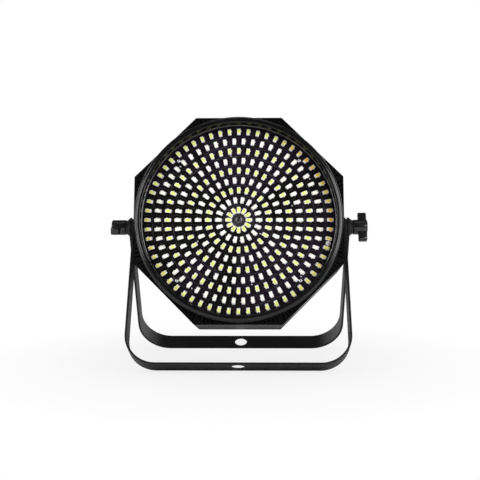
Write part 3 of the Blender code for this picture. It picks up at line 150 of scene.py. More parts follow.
# Brackets; the rounded straps stay a little inside the CAD model's sharp ones
STRAP_WIDTH = 0.0200
SHEET = 0.0020
FRONT_HALF = 0.1076
REAR_HALF = 0.1115
FRONT_DROP = 0.1482
REAR_DROP = 0.1519
FRONT_BEND = 0.0300
REAR_BEND = 0.0337
STRAP_SIDE_MARGIN = 0.00006
STRAP_FOOT_MARGIN = 0.0001
STRAP_ROUNDING = 0.0003
CLAMP_HOLE_RADIUS = 0.00665
SCREW_RADIUS = 0.0040
TURNING_GAP = 0.0005

# Washers on each side: thickness, look, body, slot, place along the pivot axis and the CAD node
HEAD_HALF = 0.103
WASHERS = {
    "inner_spacer": (0.0020, "nylon", "head", "nylon", HEAD_HALF, "inner_washer"),
    "friction_disc": (0.0013, "nylon", "rear_bracket", "nylon", FRONT_HALF, "friction_washer"),
    "steel_washer": (
        0.0014, "black_steel", "rear_bracket", "zinc_steel", REAR_HALF, "outer_washer",
    ),
}
WASHER_RADIUS = 0.0085
WASHER_BORE = 0.0045
WASHER_EDGE = 0.00025

# Knobs: a barrel with a T bar
KNOB_SEAT = 0.1135
KNOB_RADIUS = 0.0076
KNOB_LENGTH = 0.0162
KNOB_FILLET = 0.0009
# The barrel's foot: distance inside its radius, and height above the seat
KNOB_FOOT = (
    (0.0006, 0), (0.0002, 0.0004), (0.0002, 0.0012),
    (0.0006, 0.0015), (0.0003, 0.0021), (0, 0.0028),
)
KNOB_DIMPLE_RIM = 0.0035
KNOB_DIMPLE_FLOOR = 0.0031
KNOB_DIMPLE_DEPTH = 0.0004
BAR_LENGTH = 0.0310
BAR_WIDTH = 0.0080
BAR_CORNER = 0.0026
BAR_LEVELS = (0.0072, 0.0157)
BAR_WAIST = 0.0007
BAR_ROUNDING = 0.0011
RIGHT_KNOB_TURN = math.radians(-27)
LEFT_KNOB_TURN = math.radians(-105)

# Safety eye on the back
EYE_HEIGHT = 0.0780
EYE_BEND = 0.0085
EYE_ROD_RADIUS = 0.0020
EYE_REACH = 0.0090
EYE_SUNK = 0.0008
EYE_PLATE_SIZE = (0.0260, 0.0100)
EYE_PLATE_CORNER = 0.0018
EYE_PLATE_THICKNESS = 0.0015
EYE_PLATE_ROUNDING = 0.0003

# Camera
CAMERA_PLACE = (0.01687, -0.82583, 0.14581)
CAMERA_YAW = math.radians(-1.13)
CAMERA_PITCH = math.radians(1.63)
CAMERA_ROLL = math.radians(-0.11)
FOCAL_LENGTH = 60.43

# Area lamps that face the head from one distance: azimuth (0 in front, 90 to the right) and
# elevation in degrees, width, height and power
LIGHT_DISTANCE = 1.20
LIGHT_AIM = Vector((0, 0, 0.14))
LIGHTS = {
    "key_right": (50, 18, 0.38, 0.80, 4.6),
    "front_right": (27, 21, 0.18, 0.50, 1.8),
    "front_left": (-30, 21, 0.18, 0.50, 1.9),
    "strip_left": (-55, 15, 0.12, 0.80, 2.5),
    "top": (0, 80, 0.80, 0.30, 0.5),
    "back_right": (128, 32, 0.60, 0.80, 2.2),
    "back_left": (-132, 32, 0.60, 0.80, 2.2),
}

# The world is white at the back, where y and z of a ray lie in these ranges. Elsewhere it has
# one level in mirrors and one as light
BACKDROP_Y = (-0.1, 0.5)
BACKDROP_Z = (0.55, 0.2)
MIRRORED_LEVEL = 0.06
AMBIENT_LEVEL = 0.22

# Floor disc, and the distances over which it fades into the background
FLOOR_RADIUS = 12
FLOOR_LEVELS = (-0.02, -0.0001)
FLOOR_FADE = (0.10, 0.28)
FLOOR_WHITE = (0.80, 1.0)

LATHE_STEPS = 192
SMALL_STEPS = 48


def placed(tilt):
    return Matrix.Translation(PIVOT) @ Matrix.Rotation(math.radians(90) - tilt, 4, "X")


ON_PIVOT = placed(HEAD_TILT)
HEAD = ON_PIVOT @ Matrix.Translation((0, HEAD_RISE, 0))
FRONT = placed(FRONT_ANGLE)
REAR = placed(-REAR_ANGLE)


# Materials


def opaque(value):
    return (*value, 1)


class Nodes:
    """A node tree that is built in small steps."""

    def __init__(self, tree):
        self.tree = tree

    def node(self, kind, **settings):
        made = self.tree.nodes.new(kind)
        for key, value in settings.items():
            setattr(made, key, value)
        return made

    def link(self, source, target):
        self.tree.links.new(source, target)

    def math(self, operation, first, second=None, third=None, clamp=False):
        made = self.node("ShaderNodeMath", operation=operation, use_clamp=clamp)
        for index, value in enumerate((first, second, third)):
            if isinstance(value, (int, float)):
                made.inputs[index].default_value = value
            elif value is not None:
                self.link(value, made.inputs[index])
        return made.outputs["Value"]

    def ranged(self, value, low, high, new_low=0, new_high=1, kind="SMOOTHSTEP"):
        made = self.node("ShaderNodeMapRange", interpolation_type=kind)
        for name, number in (
            ("From Min", low), ("From Max", high), ("To Min", new_low), ("To Max", new_high),
        ):
            made.inputs[name].default_value = number
        self.link(value, made.inputs["Value"])
        return made.outputs["Result"]


class Surface(Nodes):
    """A Principled material whose patterns follow the object's own coordinates."""

    def __init__(self, name, colour, roughness, metallic=0.0, level=0.5, ior=1.5):
        self.material = bpy.data.materials.new(name)
        self.material.use_nodes = True
        super().__init__(self.material.node_tree)
        self.shader = self.tree.nodes["Principled BSDF"]
        self.give("Base Color", colour)
        self.give("Roughness", roughness)
        self.give("Metallic", metallic)
        self.give("Specular IOR Level", level)
        self.give("IOR", ior)
        self.coordinates = self.node("ShaderNodeTexCoord").outputs["Object"]
        self.height = None

    def give(self, name, value):
        target = self.shader.inputs[name]
        target.default_value = opaque(value) if target.type == "RGBA" else value

    def noise(self, scale, detail=2.0, stretch=None):
        made = self.node("ShaderNodeTexNoise")
        made.inputs["Scale"].default_value = scale
        made.inputs["Detail"].default_value = detail
        source = self.coordinates
        if stretch:
            mapping = self.node("ShaderNodeMapping")
            mapping.inputs["Scale"].default_value = stretch
            self.link(source, mapping.inputs["Vector"])
            source = mapping.outputs["Vector"]
        self.link(source, made.inputs["Vector"])
        return made.outputs["Fac"]

    def across(self):
        """x, y and the distance from the optical axis."""
        split = self.node("ShaderNodeSeparateXYZ")
        self.link(self.coordinates, split.inputs["Vector"])
        x, y = split.outputs["X"], split.outputs["Y"]
        square = self.math("MULTIPLY_ADD", x, x, self.math("MULTIPLY", y, y))
        return x, y, self.math("SQRT", square)

    def mixed(self, share, first, second):
        made = self.node("ShaderNodeMix", data_type="RGBA")
        self.link(share, made.inputs["Factor"])
        for name, value in ((6, first), (7, second)):
            if isinstance(value, tuple):
                made.inputs[name].default_value = opaque(value)
            else:
                self.link(value, made.inputs[name])
        return made.outputs[2]

    def colour(self, output):
        self.link(output, self.shader.inputs["Base Color"])

    def shades(self, pattern, low, high, first, second):
        """Goes from one colour to another as a pattern goes from low to high."""
        self.colour(self.mixed(self.ranged(pattern, low, high), first, second))

    def roughness(self, pattern, smooth, rough, low=0.3, high=0.7):
        self.link(self.ranged(pattern, low, high, smooth, rough), self.shader.inputs["Roughness"])

    def bump(self, output, strength, distance):
        made = self.node("ShaderNodeBump")
        made.inputs["Strength"].default_value = strength
        made.inputs["Distance"].default_value = distance
        self.link(output, made.inputs["Height"])
        if self.height:
            self.link(self.height, made.inputs["Normal"])
        self.height = made.outputs["Normal"]
        self.link(self.height, self.shader.inputs["Normal"])


def moulded(name, dark, light, smooth, rough, level, grain, depth):
    """Moulded plastic: fine grain, and cloudy changes in its gloss and shade."""
    made = Surface(name, dark, rough, level=level)
    cloud = made.noise(38, 4)
    made.shades(cloud, 0.35, 0.65, dark, light)
    fine = made.noise(grain, 3)
    blend = made.math("MULTIPLY_ADD", fine, 0.5, made.math("MULTIPLY", cloud, 0.5))
    made.roughness(blend, smooth, rough)
    made.bump(fine, 0.5, depth)
    return made


def powder_coat():
    """Black powder coat: a fine orange-peel skin with grit in it, worn a little by handling."""
    made = Surface("powder_coat", (0.005, 0.005, 0.0053), 0.45, level=0.42)
    cloud = made.noise(22, 5)
    peel = made.noise(900, 2)
    grit = made.noise(3600, 2)
    made.shades(cloud, 0.42, 0.68, (0.004, 0.004, 0.0043), (0.007, 0.007, 0.0073))
    uneven = made.math("ADD", peel, made.math("MULTIPLY", cloud, 0.6))
    made.roughness(uneven, 0.34, 0.50, low=0.5, high=1.1)
    made.bump(peel, 0.35, 0.00006)
    made.bump(grit, 0.25, 0.00002)
    return made


def metal(name, light, dark, smooth, rough, stretch=None):
    """Plated or machined metal with fine marks and a slightly uneven gloss."""
    made = Surface(name, light, rough, metallic=1.0)
    marks = made.noise(700, 4, stretch)
    made.shades(made.noise(60, 3), 0.3, 0.7, dark, light)
    made.roughness(marks, smooth, rough)
    made.bump(marks, 0.25, 0.00003)
    return made


def clear_lens():
    """A thin clear sheet; its low refractive index keeps the lamps behind it in place."""
    made = Surface("clear_lens", (0.97, 0.98, 0.985), 0.0, level=0.5, ior=1.12)
    made.give("Transmission Weight", 1.0)
    made.roughness(made.noise(46, 5), 0.0, 0.03, low=0.5, high=0.8)
    return made


def board_mask():
    """Dark solder mask over copper: rings that join the lamps and spokes between them."""
    made = Surface("board_mask", (0.004, 0.003, 0.004), 0.3, level=0.20)
    x, y, radius = made.across()
    angle = made.math("ARCTAN2", y, x)

    def off_middle(value):
        return made.math("ABSOLUTE", made.math("SUBTRACT", made.math("FRACT", value), 0.5))

    ring = made.math("DIVIDE", radius, RING_PITCH)
    rings = made.ranged(off_middle(ring), 0.015, 0.035, 1, 0)
    number = made.math("MAXIMUM", made.math("FLOOR", made.math("ADD", ring, 0.5)), 1.0)
    count = made.math("MULTIPLY", made.math("ADD", number, 1.0), float(LAMPS_ADDED_PER_RING))
    to_spoke = off_middle(made.math("MULTIPLY", made.math("DIVIDE", angle, math.tau), count))
    across = made.math("MULTIPLY", to_spoke, made.math("DIVIDE", math.tau, count))
    spokes = made.ranged(made.math("MULTIPLY", across, radius), 0.00008, 0.0002, 1, 0)
    patches = made.ranged(made.noise(26, 3), 0.45, 0.58)
    traces = made.math(
        "MAXIMUM", made.math("MULTIPLY", rings, patches), made.math("MULTIPLY", spokes, 0.5)
    )
    hue = made.ranged(made.noise(17, 3), 0.4, 0.6)
    tint = made.mixed(hue, (0.0042, 0.0038, 0.0028), (0.0078, 0.0052, 0.0094))
    made.colour(made.mixed(made.math("MULTIPLY", traces, 0.55), tint, (0.070, 0.062, 0.080)))
    made.roughness(made.noise(240, 3), 0.12, 0.20)
    made.bump(traces, 0.4, 0.00006)
    return made


def lamp_white():
    """The package round a lamp's window."""
    made = Surface("lamp_white", (0.74, 0.73, 0.715), 0.4, level=0.3)
    made.shades(made.noise(150, 3), 0.3, 0.7, (0.66, 0.645, 0.64), (0.80, 0.79, 0.77))
    made.roughness(made.noise(1800, 2), 0.32, 0.5)
    return made


def lamp_cream():
    """The diffuser of a white lamp."""
    made = Surface("lamp_cream", (0.90, 0.88, 0.82), 0.3, level=0.3)
    made.give("Subsurface Weight", 0.1)
    made.give("Subsurface Radius", (0.0006, 0.0006, 0.0004))
    made.shades(made.noise(90, 3), 0.35, 0.65, (0.87, 0.85, 0.76), (0.92, 0.91, 0.83))
    return made


# Where the outer lamps come from amber batches: factors of x and y, the distance at which that
# starts and is full, and its strength
AMBER_SIDE = (1.0, 0.4, 0.072, 0.084, 1)
AMBER_LEFT = (-1.0, -0.3, 0.076, 0.090, 0.55)
AMBER_LOWER = (1.0, -0.3, 0.064, 0.080, 0.42)
OUTER_LAMPS = (0.084, 0.088)
# Colour the outer ring is painted towards: painted light that offsets the rim's shade on those
# lamps
PAINTED_LIGHT_PHOSPHOR = (0.95, 0.97, 0.24)


def lamp_phosphor(green, light, amber, yellow):
    """Yellow-green phosphor, amber along parts of the outer ring, and painted paler in the outer
    ring to offset the shade the rim casts there.
    """
    made = Surface("lamp_phosphor", green, 0.3, level=0.3)
    x, y, radius = made.across()

    def towards(factor_x, factor_y, start, full, strength):
        distance = made.math("MULTIPLY_ADD", y, factor_y, made.math("MULTIPLY", x, factor_x))
        return made.ranged(distance, start, full, 0, strength)

    outer = made.ranged(radius, *OUTER_LAMPS)
    weaker = made.math("MAXIMUM", towards(*AMBER_LEFT), towards(*AMBER_LOWER))
    patch = made.math("MULTIPLY", made.ranged(made.noise(34, 2), 0.40, 0.60, 0.4, 1), weaker)
    either = made.math("MAXIMUM", towards(*AMBER_SIDE), patch)
    share = made.math("MULTIPLY", outer, either, clamp=True)
    base = made.mixed(made.ranged(made.noise(120, 3), 0.3, 0.7), green, light)
    # Painted light: the outer ring is painted paler to offset the shade that the rim casts on it
    painted_lighter = tuple(0.45 * own + 0.55 * pale for own, pale in zip(light, PAINTED_LIGHT_PHOSPHOR))
    base = made.mixed(made.math("MULTIPLY", outer, 0.7), base, painted_lighter)
    warm = made.mixed(made.ranged(made.noise(105, 1), 0.40, 0.60), amber, yellow)
    made.colour(made.mixed(share, base, warm))
    made.roughness(made.noise(1500, 2), 0.22, 0.4)
    return made


def circuit_green():
    """A circuit board's mask over a pattern of tracks."""
    made = Surface("circuit_green", (0.015, 0.12, 0.045), 0.35)
    lines = made.node("ShaderNodeTexBrick")
    lines.inputs["Scale"].default_value = 260
    made.link(made.coordinates, lines.inputs["Vector"])
    tracks = made.math("MULTIPLY", lines.outputs["Fac"], 0.7)
    made.colour(made.mixed(tracks, (0.012, 0.10, 0.04), (0.03, 0.19, 0.08)))
    made.roughness(made.noise(300, 3), 0.28, 0.45)
    return made


def display_window():
    """Dark red glass in front of the display's digits, which are off."""
    made = Surface("display_window", (0.030, 0.004, 0.005), 0.08, level=0.5)
    made.give("Coat Weight", 0.5)
    made.shades(made.noise(90, 3), 0.4, 0.6, (0.024, 0.003, 0.004), (0.036, 0.006, 0.007))
    made.roughness(made.noise(500, 3), 0.05, 0.12)
    return made


def rubber(name, colour, rough):
    """Rubber or cable sheath with a fine grain."""
    made = Surface(name, colour, rough, level=0.3)
    grain = made.noise(1300, 3)
    lighter = tuple(value * 1.6 for value in colour)
    made.shades(made.noise(80, 3), 0.35, 0.65, colour, lighter)
    made.roughness(grain, rough - 0.12, rough)
    made.bump(grain, 0.3, 0.00003)
    return made


# Plastics: material name, darkest and lightest shade, then smoothest and roughest finish,
# specular level, scale of the grain and depth of its bump
PLASTICS = {
    "shell": (
        "shell_plastic", (0.005, 0.005, 0.0053), (0.009, 0.009, 0.0093),
        0.26, 0.38, 0.50, 1900, 0.00002,
    ),
    "cover": (
        "cover_plastic", (0.0026, 0.0026, 0.0028), (0.0045, 0.0045, 0.0047),
        0.15, 0.22, 0.32, 1700, 0.000008,
    ),
    "bezel": (
        "bezel_plastic", (0.0028, 0.0028, 0.0030), (0.005, 0.005, 0.0053),
        0.12, 0.18, 0.62, 1500, 0.000005,
    ),
    # The inner wall's plastic is a painted-shade copy of the bezel's: darker, and barely
    # reflecting
    "wall": (
        "wall_shaded_plastic", (0.002, 0.002, 0.0023), (0.003, 0.003, 0.0033),
        0.08, 0.13, 0.05, 700, 0.000003,
    ),
    "knob": (
        "knob_plastic", (0.005, 0.005, 0.0053), (0.009, 0.009, 0.0093),
        0.17, 0.25, 0.90, 1600, 0.00001,
    ),
    "socket": (
        "socket_plastic", (0.012, 0.012, 0.0125), (0.018, 0.018, 0.0185),
        0.34, 0.48, 0.45, 1400, 0.00004,
    ),
    "button": (
        "button_plastic", (0.020, 0.020, 0.021), (0.028, 0.028, 0.029),
        0.30, 0.42, 0.5, 1500, 0.00003,
    ),
    "nylon": (
        "nylon", (0.030, 0.030, 0.031), (0.042, 0.042, 0.043),
        0.45, 0.60, 0.4, 1500, 0.00003,
    ),
    "sensor": (
        "sensor_window", (0.52, 0.48, 0.56), (0.66, 0.62, 0.68),
        0.18, 0.30, 0.5, 900, 0.00001,
    ),
    "chip": (
        "chip_ceramic", (0.60, 0.60, 0.58), (0.74, 0.74, 0.72),
        0.35, 0.50, 0.4, 1500, 0.00002,
    ),
}

# Metals: material name, lightest and darkest shade, smoothest and roughest finish, and the
# stretch of the marks of a tool
METALS = {
    # The edge look is the lens bead's bright metal: a painted highlight for the light the lens
    # edge reflects
    "edge": ("bead_painted_highlight", (0.30, 0.30, 0.31), (0.22, 0.22, 0.23), 0.12, 0.20),
    "solder": ("solder", (0.70, 0.71, 0.72), (0.52, 0.53, 0.55), 0.25, 0.45),
    "bright": ("bright_steel", (0.78, 0.78, 0.80), (0.62, 0.62, 0.64), 0.14, 0.28),
    "black_steel": ("black_steel", (0.10, 0.10, 0.105), (0.06, 0.06, 0.065), 0.30, 0.45),
    "worn": ("worn_steel", (0.15, 0.145, 0.15), (0.09, 0.085, 0.09), 0.20, 0.32),
    "zinc": ("zinc_steel", (0.60, 0.61, 0.63), (0.46, 0.47, 0.50), 0.26, 0.42),
    "brass": ("brass", (0.74, 0.56, 0.26), (0.60, 0.43, 0.18), 0.22, 0.38),
    "aluminium": ("aluminium", (0.66, 0.67, 0.69), (0.54, 0.55, 0.57), 0.30, 0.46, (1, 14, 1)),
}

# Rubber and cable sheaths: colour and roughest finish
RUBBERS = {
    "rubber": ((0.012, 0.011, 0.012), 0.75),
    "washer_pad": ((0.010, 0.007, 0.008), 0.55),
    "red_wire": ((0.32, 0.012, 0.012), 0.5),
    "black_wire": ((0.012, 0.012, 0.013), 0.5),
}

# Phosphors: green, its lighter shade, amber and yellow
PHOSPHORS = {
    "phosphor": (
        (0.66, 0.74, 0.13), (0.76, 0.80, 0.19), (0.96, 0.50, 0.045), (0.88, 0.74, 0.12),
    ),
    "phosphor_edge": (
        (0.84, 0.87, 0.38), (0.88, 0.89, 0.48), (0.96, 0.74, 0.26), (0.90, 0.84, 0.36),
    ),
}


def make_looks():
    looks = {name: moulded(*values) for name, values in PLASTICS.items()}
    looks.update({name: metal(*values) for name, values in METALS.items()})
    looks.update({name: rubber(name, *values) for name, values in RUBBERS.items()})
    looks.update({name: lamp_phosphor(*colours) for name, colours in PHOSPHORS.items()})
    looks["powder"] = powder_coat()
    looks["lens"] = clear_lens()
    looks["board"] = board_mask()
    looks["lamp_white"] = lamp_white()
    looks["lamp_cream"] = lamp_cream()
    looks["circuit"] = circuit_green()
    looks["display"] = display_window()
    return looks


LOOKS = make_looks()

# Looks whose pattern is measured from the optical axis
ROUND_THE_AXIS = {"board", "phosphor"}


# Mesh helpers


def lathe(profile, steps, closed=True, indices=None):
    """Turns (radius, z) points about z; a point on the axis becomes one vertex."""
    bm = bmesh.new()
    rings = []
    for radius, z in profile:
        if radius < 1e-7:
            rings.append([bm.verts.new((0, 0, z))])
        else:
            rings.append([bm.verts.new((x, y, z)) for x, y in circle(radius, steps)])
    pairs = list(zip(rings, rings[1:] + rings[:1]))
    if not closed:
        pairs = pairs[:-1]
    for number, (first, second) in enumerate(pairs):
        for step in range(steps):
            after = (step + 1) % steps
            corners = [first[step % len(first)], first[after % len(first)]]
            corners += [second[after % len(second)], second[step % len(second)]]
            corners = list(dict.fromkeys(corners))
            if len(corners) > 2:
                face = bm.faces.new(corners)
                face.material_index = indices[number] if indices else 0
    return bm


def arc(centre, radius, start, end, steps):
    turns = [start + (end - start) * step / steps for step in range(steps + 1)]
    return [(centre[0] + radius * math.cos(a), centre[1] + radius * math.sin(a)) for a in turns]


def circle(radius, steps, centre=(0, 0)):
    return arc(centre, radius, 0, math.tau, steps)[:-1]


def rectangle(width, height, centre=(0, 0)):
    x, y = centre
    w, h = width / 2, height / 2
    return [(x - w, y - h), (x + w, y - h), (x + w, y + h), (x - w, y + h)]


def rounded_rectangle(width, height, radius, steps=5, centre=(0, 0)):
    points = []
    for quarter, (sx, sy) in enumerate(((1, 1), (-1, 1), (-1, -1), (1, -1))):
        middle = (centre[0] + sx * (width / 2 - radius), centre[1] + sy * (height / 2 - radius))
        points += arc(middle, radius, quarter * math.pi / 2, (quarter + 1) * math.pi / 2, steps)
    return points


def prism(points, low, high):
    bm = bmesh.new()
    lower = [bm.verts.new((x, y, low)) for x, y in points]
    upper = [bm.verts.new((x, y, high)) for x, y in points]
    bm.faces.new(lower[::-1])
    bm.faces.new(upper)
    for index in range(len(points)):
        bm.faces.new((lower[index - 1], lower[index], upper[index], upper[index - 1]))
    return bm


def turned(bm, matrix):
    bm.transform(matrix)
    return bm


def to_object(bm, name="loose"):
    bmesh.ops.recalc_face_normals(bm, faces=bm.faces)
    mesh = bpy.data.meshes.new(name)
    bm.to_mesh(mesh)
    bm.free()
    made = bpy.data.objects.new(name, mesh)
    bpy.context.scene.collection.objects.link(made)
    return made


def applied(obj):
    """Bakes an object's modifiers into its mesh."""
    graph = bpy.context.evaluated_depsgraph_get()
    mesh = bpy.data.meshes.new_from_object(obj.evaluated_get(graph))
    obj.modifiers.clear()
    obj.data = mesh
    return obj


def carved(target, operation, *tools):
    """One Boolean after another on an object; the tools are removed."""
    for tool in tools:
        modifier = target.modifiers.new("carve", "BOOLEAN")
        modifier.operation = operation
        modifier.solver = "EXACT"
        modifier.object = tool
        applied(target)
        bpy.data.objects.remove(tool, do_unlink=True)
    return target


def rounded(obj, width, segments=3, limit=32):
    """Rounds the edges that are sharper than a limit in degrees."""
    modifier = obj.modifiers.new("edge", "BEVEL")
    modifier.width = width
    modifier.segments = segments
    modifier.limit_method = "ANGLE"
    modifier.angle_limit = math.radians(limit)
    modifier.use_clamp_overlap = True
    return obj


def smooth(obj, angle):
    obj.data.shade_smooth()
    obj.data.set_sharp_from_angle(angle=math.radians(angle))
    return obj


def piece(name, obj, looks, body, matrix, replaces=(), angle=30):
    """Names a piece, places it, gives it its looks and lets it ride on its body."""
    obj.name = name
    obj.data.name = name
    looks = [looks] if isinstance(looks, str) else looks
    for look in looks:
        obj.data.materials.append(LOOKS[look].material)
    if ROUND_THE_AXIS.intersection(looks):
        obj.matrix_world = matrix
    else:
        obj.data.transform(matrix)
    smooth(obj, angle)
    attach(obj, body)
    if replaces:
        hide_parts(*replaces)
    return obj


# Bezel and lens


def bezel():
    """A rounded rim, its glossy inner wall in a darker copy of the plastic that paints in shade,
    and the skirt that holds the lens and board.
    """
    foot, outer, crown, inner = 0.0004, 0.0018, 0.0062, 0.0009
    profile = [
        (SKIRT_RADIUS, SKIRT_BACK), (SKIRT_RADIUS, BEZEL_BASE), (BEZEL_OUTER - foot, BEZEL_BASE),
    ]
    profile += arc((BEZEL_OUTER - foot, BEZEL_BASE + foot), foot, -math.pi / 2, 0, 4)[1:]
    first = math.radians(60)
    shoulder = (BEZEL_OUTER - outer, BEZEL_TOP - crown + (crown - outer) * math.sin(first))
    middle = (shoulder[0] - (crown - outer) * math.cos(first), BEZEL_TOP - crown)
    last = math.acos((BEZEL_INNER + inner - middle[0]) / (crown - inner))
    edge = (BEZEL_INNER + inner, middle[1] + (crown - inner) * math.sin(last))
    profile += arc(shoulder, outer, 0, first, 10)
    profile += arc(middle, crown, first, last, 10)[1:]
    profile += arc(edge, inner, last, math.pi, 8)[1:]
    wall_start = len(profile) - 1
    ledge = LENS_FRONT + GAP
    profile += [(BEZEL_INNER, ledge), (POCKET_RADIUS, ledge), (POCKET_RADIUS, SKIRT_BACK)]
    indices = [1 if number >= wall_start else 0 for number in range(len(profile))]
    made = to_object(lathe(profile, LATHE_STEPS, indices=indices))
    looks = ["bezel", "wall"]
    piece("bezel_rim", made, looks, "head", HEAD, ["bezel_ring"], 40)


def disc(back, front, edge):
    """A round plate with a chamfer round its front."""
    profile = [
        (0, back), (DISC_RADIUS, back), (DISC_RADIUS, front - edge),
        (DISC_RADIUS - edge, front), (0, front),
    ]
    return to_object(lathe(profile, LATHE_STEPS, closed=False))


def lens():
    """The clear sheet, and a bead of bright metal that paints in the highlight its edge catches.
    """
    made = disc(LENS_BACK, LENS_FRONT, LENS_EDGE)
    piece("lens_sheet", made, "lens", "head", HEAD, ["lens"], 20)
    made.visible_shadow = False
    centre = (BEZEL_INNER - BEAD_OFFSET, LENS_FRONT + BEAD_OFFSET)
    profile = [*arc(centre, BEAD_RADIUS, math.pi / 2, math.pi, 12), centre]
    made = to_object(lathe(profile, LATHE_STEPS))
    # The bead stands for the lens edge; its bright metal paints in that edge's highlight
    piece("highlight_bead", made, "edge", "head", HEAD, (), 50)


# Lamp board


def board():
    made = disc(BOARD_BACK, BOARD_FRONT, BOARD_EDGE)
    piece("board_sheet", made, "board", "head", HEAD, ["lamp_board"], 20)


def lamp_outline():
    """One package seen from above, with a notch in each end."""
    notch, depth = LAMP_NOTCH_WIDTH, LAMP_NOTCH_DEPTH
    half_l, half_w = LAMP_LENGTH / 2, LAMP_WIDTH / 2
    return [
        (-half_l, -half_w), (half_l, -half_w),
        (half_l, -notch / 2), (half_l - depth, -notch / 2),
        (half_l - depth, notch / 2), (half_l, notch / 2),
        (half_l, half_w), (-half_l, half_w),
        (-half_l, notch / 2), (depth - half_l, notch / 2),
        (depth - half_l, -notch / 2), (-half_l, -notch / 2),
    ]


def lamp_places():
    """Each lamp's ring number and the matrix that takes it from the middle to its place."""
    for number in range(1, RING_COUNT + 1):
        count = LAMPS_ADDED_PER_RING * (number + 1)
        start = math.radians(90) if number % 2 else math.radians(90) + math.pi / count
        for index in range(count):
            turn = Matrix.Rotation(start + index * math.tau / count, 4, "Z")
            yield number, turn @ Matrix.Translation((number * RING_PITCH, 0, 0))


def shrunk(points, inset):
    """An outline drawn in towards its own middle along x and y."""
    x = sum(point[0] for point in points) / len(points)
    y = sum(point[1] for point in points) / len(points)
    return [
        (px - math.copysign(inset, px - x), py - math.copysign(inset, py - y)) for px, py in points
    ]


def bridged(bm, levels, matrix, indices):
    """Bridges outlines of equal length, given with their heights, and caps the last one."""
    made = [[bm.verts.new(matrix @ Vector((x, y, z))) for x, y in points] for points, z in levels]
    for lower, upper, index in zip(made, made[1:], indices):
        for step in range(len(lower)):
            face = bm.faces.new((lower[step - 1], lower[step], upper[step], upper[step - 1]))
            face.material_index = index
    cap = bm.faces.new(made[-1])
    cap.material_index = indices[-1]


def block(bm, outline, shape, matrix, index=0):
    """A small block on the board whose top edge is chamfered."""
    levels, chamfer = shape
    foot, shoulder, top = (BOARD_FRONT + level for level in levels)
    rings = [(outline, foot), (outline, shoulder), (shrunk(outline, chamfer), top)]
    bridged(bm, rings, matrix, [index, index, index])


def lamps():
    """White packages, each with a window: phosphor in odd rings, a pale diffuser in even ones."""
    bodies, windows, pads = bmesh.new(), bmesh.new(), bmesh.new()
    top = BOARD_FRONT + LAMP_HEIGHT
    outline = lamp_outline()
    rim = rounded_rectangle(*WINDOW_RIM, WINDOW_CORNER, 2)
    window = rounded_rectangle(*WINDOW_SIZE, WINDOW_CORNER, 2)
    levels = [
        (rim, top + WINDOW_FOOT), (rim, top + WINDOW_SHOULDER), (window, top + WINDOW_TOP),
    ]
    tick = rectangle(*TICK_SIZE, (TICK_OFFSET, -LAMP_WIDTH / 2 - TICK_GAP))
    for number, place in lamp_places():
        block(bodies, outline, LAMP_BLOCK, place)
        odd = number % 2 == 1
        shift = OUTER_WINDOW_SHIFT if number == RING_COUNT else WINDOW_SHIFT
        slide = place @ Matrix.Translation((shift if odd else 0.0, 0, 0))
        bridged(windows, levels, slide, [1, 1, 0] if odd else [2, 2, 2])
        for end in (-1, 1):
            pad = rectangle(*PAD_SIZE, (end * (LAMP_LENGTH / 2 - PAD_INSET), 0))
            block(pads, pad, PAD_BLOCK, place)
        block(pads, tick, TICK_BLOCK, place, 1)
    looks = ["phosphor", "phosphor_edge", "lamp_cream"]
    piece("lamp_bodies", to_object(bodies), "lamp_white", "head", HEAD, (), 25)
    piece("lamp_windows", to_object(windows), looks, "head", HEAD, (), 25)
    looks = ["solder", "chip"]
    piece("lamp_solder", to_object(pads), looks, "head", HEAD, (), 25)


def chips():
    bodies, ends = bmesh.new(), bmesh.new()
    core = rectangle(*CHIP_SIZE)
    for radius, angle in CHIP_PLACES:
        place = Matrix.Rotation(math.radians(angle), 4, "Z") @ Matrix.Translation((radius, 0, 0))
        place = place @ Matrix.Rotation(CHIP_TURN, 4, "Z")
        block(bodies, core, CHIP_BLOCK, place)
        for end in (-1, 1):
            block(ends, rectangle(*CAP_SIZE, (end * CAP_OFFSET, 0)), CAP_BLOCK, place)
    piece("board_chips", to_object(bodies), "chip", "head", HEAD)
    piece("chip_ends", to_object(ends), "solder", "head", HEAD)


def quarter_turns(start, steps=8):
    """Angles up to a right angle, without the last one."""
    return [math.radians(90) * step / steps for step in range(start, steps)]


def pan_head(radius, height, shank, length, recess, steps=SMALL_STEPS):
    """A pan-head screw with a cross recess, its seat at z = 0."""
    side = height * HEAD_SIDE
    dome = [
        (radius * math.cos(turn) ** DOME_POWER, side + (height - side) * math.sin(turn))
        for turn in quarter_turns(0)
    ]
    foot = [(radius * FOOT_RADIUS, 0), (radius, radius * FOOT_HEIGHT)]
    profile = [(0, -length), (shank, -length), (shank, 0), *foot, *dome, (0, height)]
    made = to_object(lathe(profile, steps, closed=False))
    arm, width = recess, recess * CROSS_WIDTH
    cross = [
        (width, width), (arm, width), (arm, -width), (width, -width),
        (width, -arm), (-width, -arm), (-width, -width), (-arm, -width),
        (-arm, width), (-width, width), (-width, arm), (width, arm),
    ]
    tool = to_object(prism(cross, height * CROSS_FLOOR, height * 2))
    return carved(made, "DIFFERENCE", tool)


def on_board(lift, radius=0, turn=0):
    """A place on the board, lifted off its face."""
    x, y = radius * math.cos(turn), radius * math.sin(turn)
    return HEAD @ Matrix.Translation((x, y, BOARD_FRONT + lift))


def centre_screw():
    made = pan_head(radius=0.0037, height=0.0019, shank=0.0018, length=0.0085, recess=0.0021)
    rounded(made, width=0.00012, segments=2, limit=40)
    place = on_board(CENTRE_SCREW_LIFT) @ Matrix.Rotation(CENTRE_SCREW_TURN, 4, "Z")
    replaced = ["centre_screw"]
    piece("centre_screw_head", made, "worn", "head", place, replaced)
    washer = to_object(lathe(CENTRE_PAD_PROFILE, SMALL_STEPS * 2))
    replaced = ["centre_washer"]
    piece("centre_pad", washer, "washer_pad", "head", on_board(SEAT_LIFT), replaced)


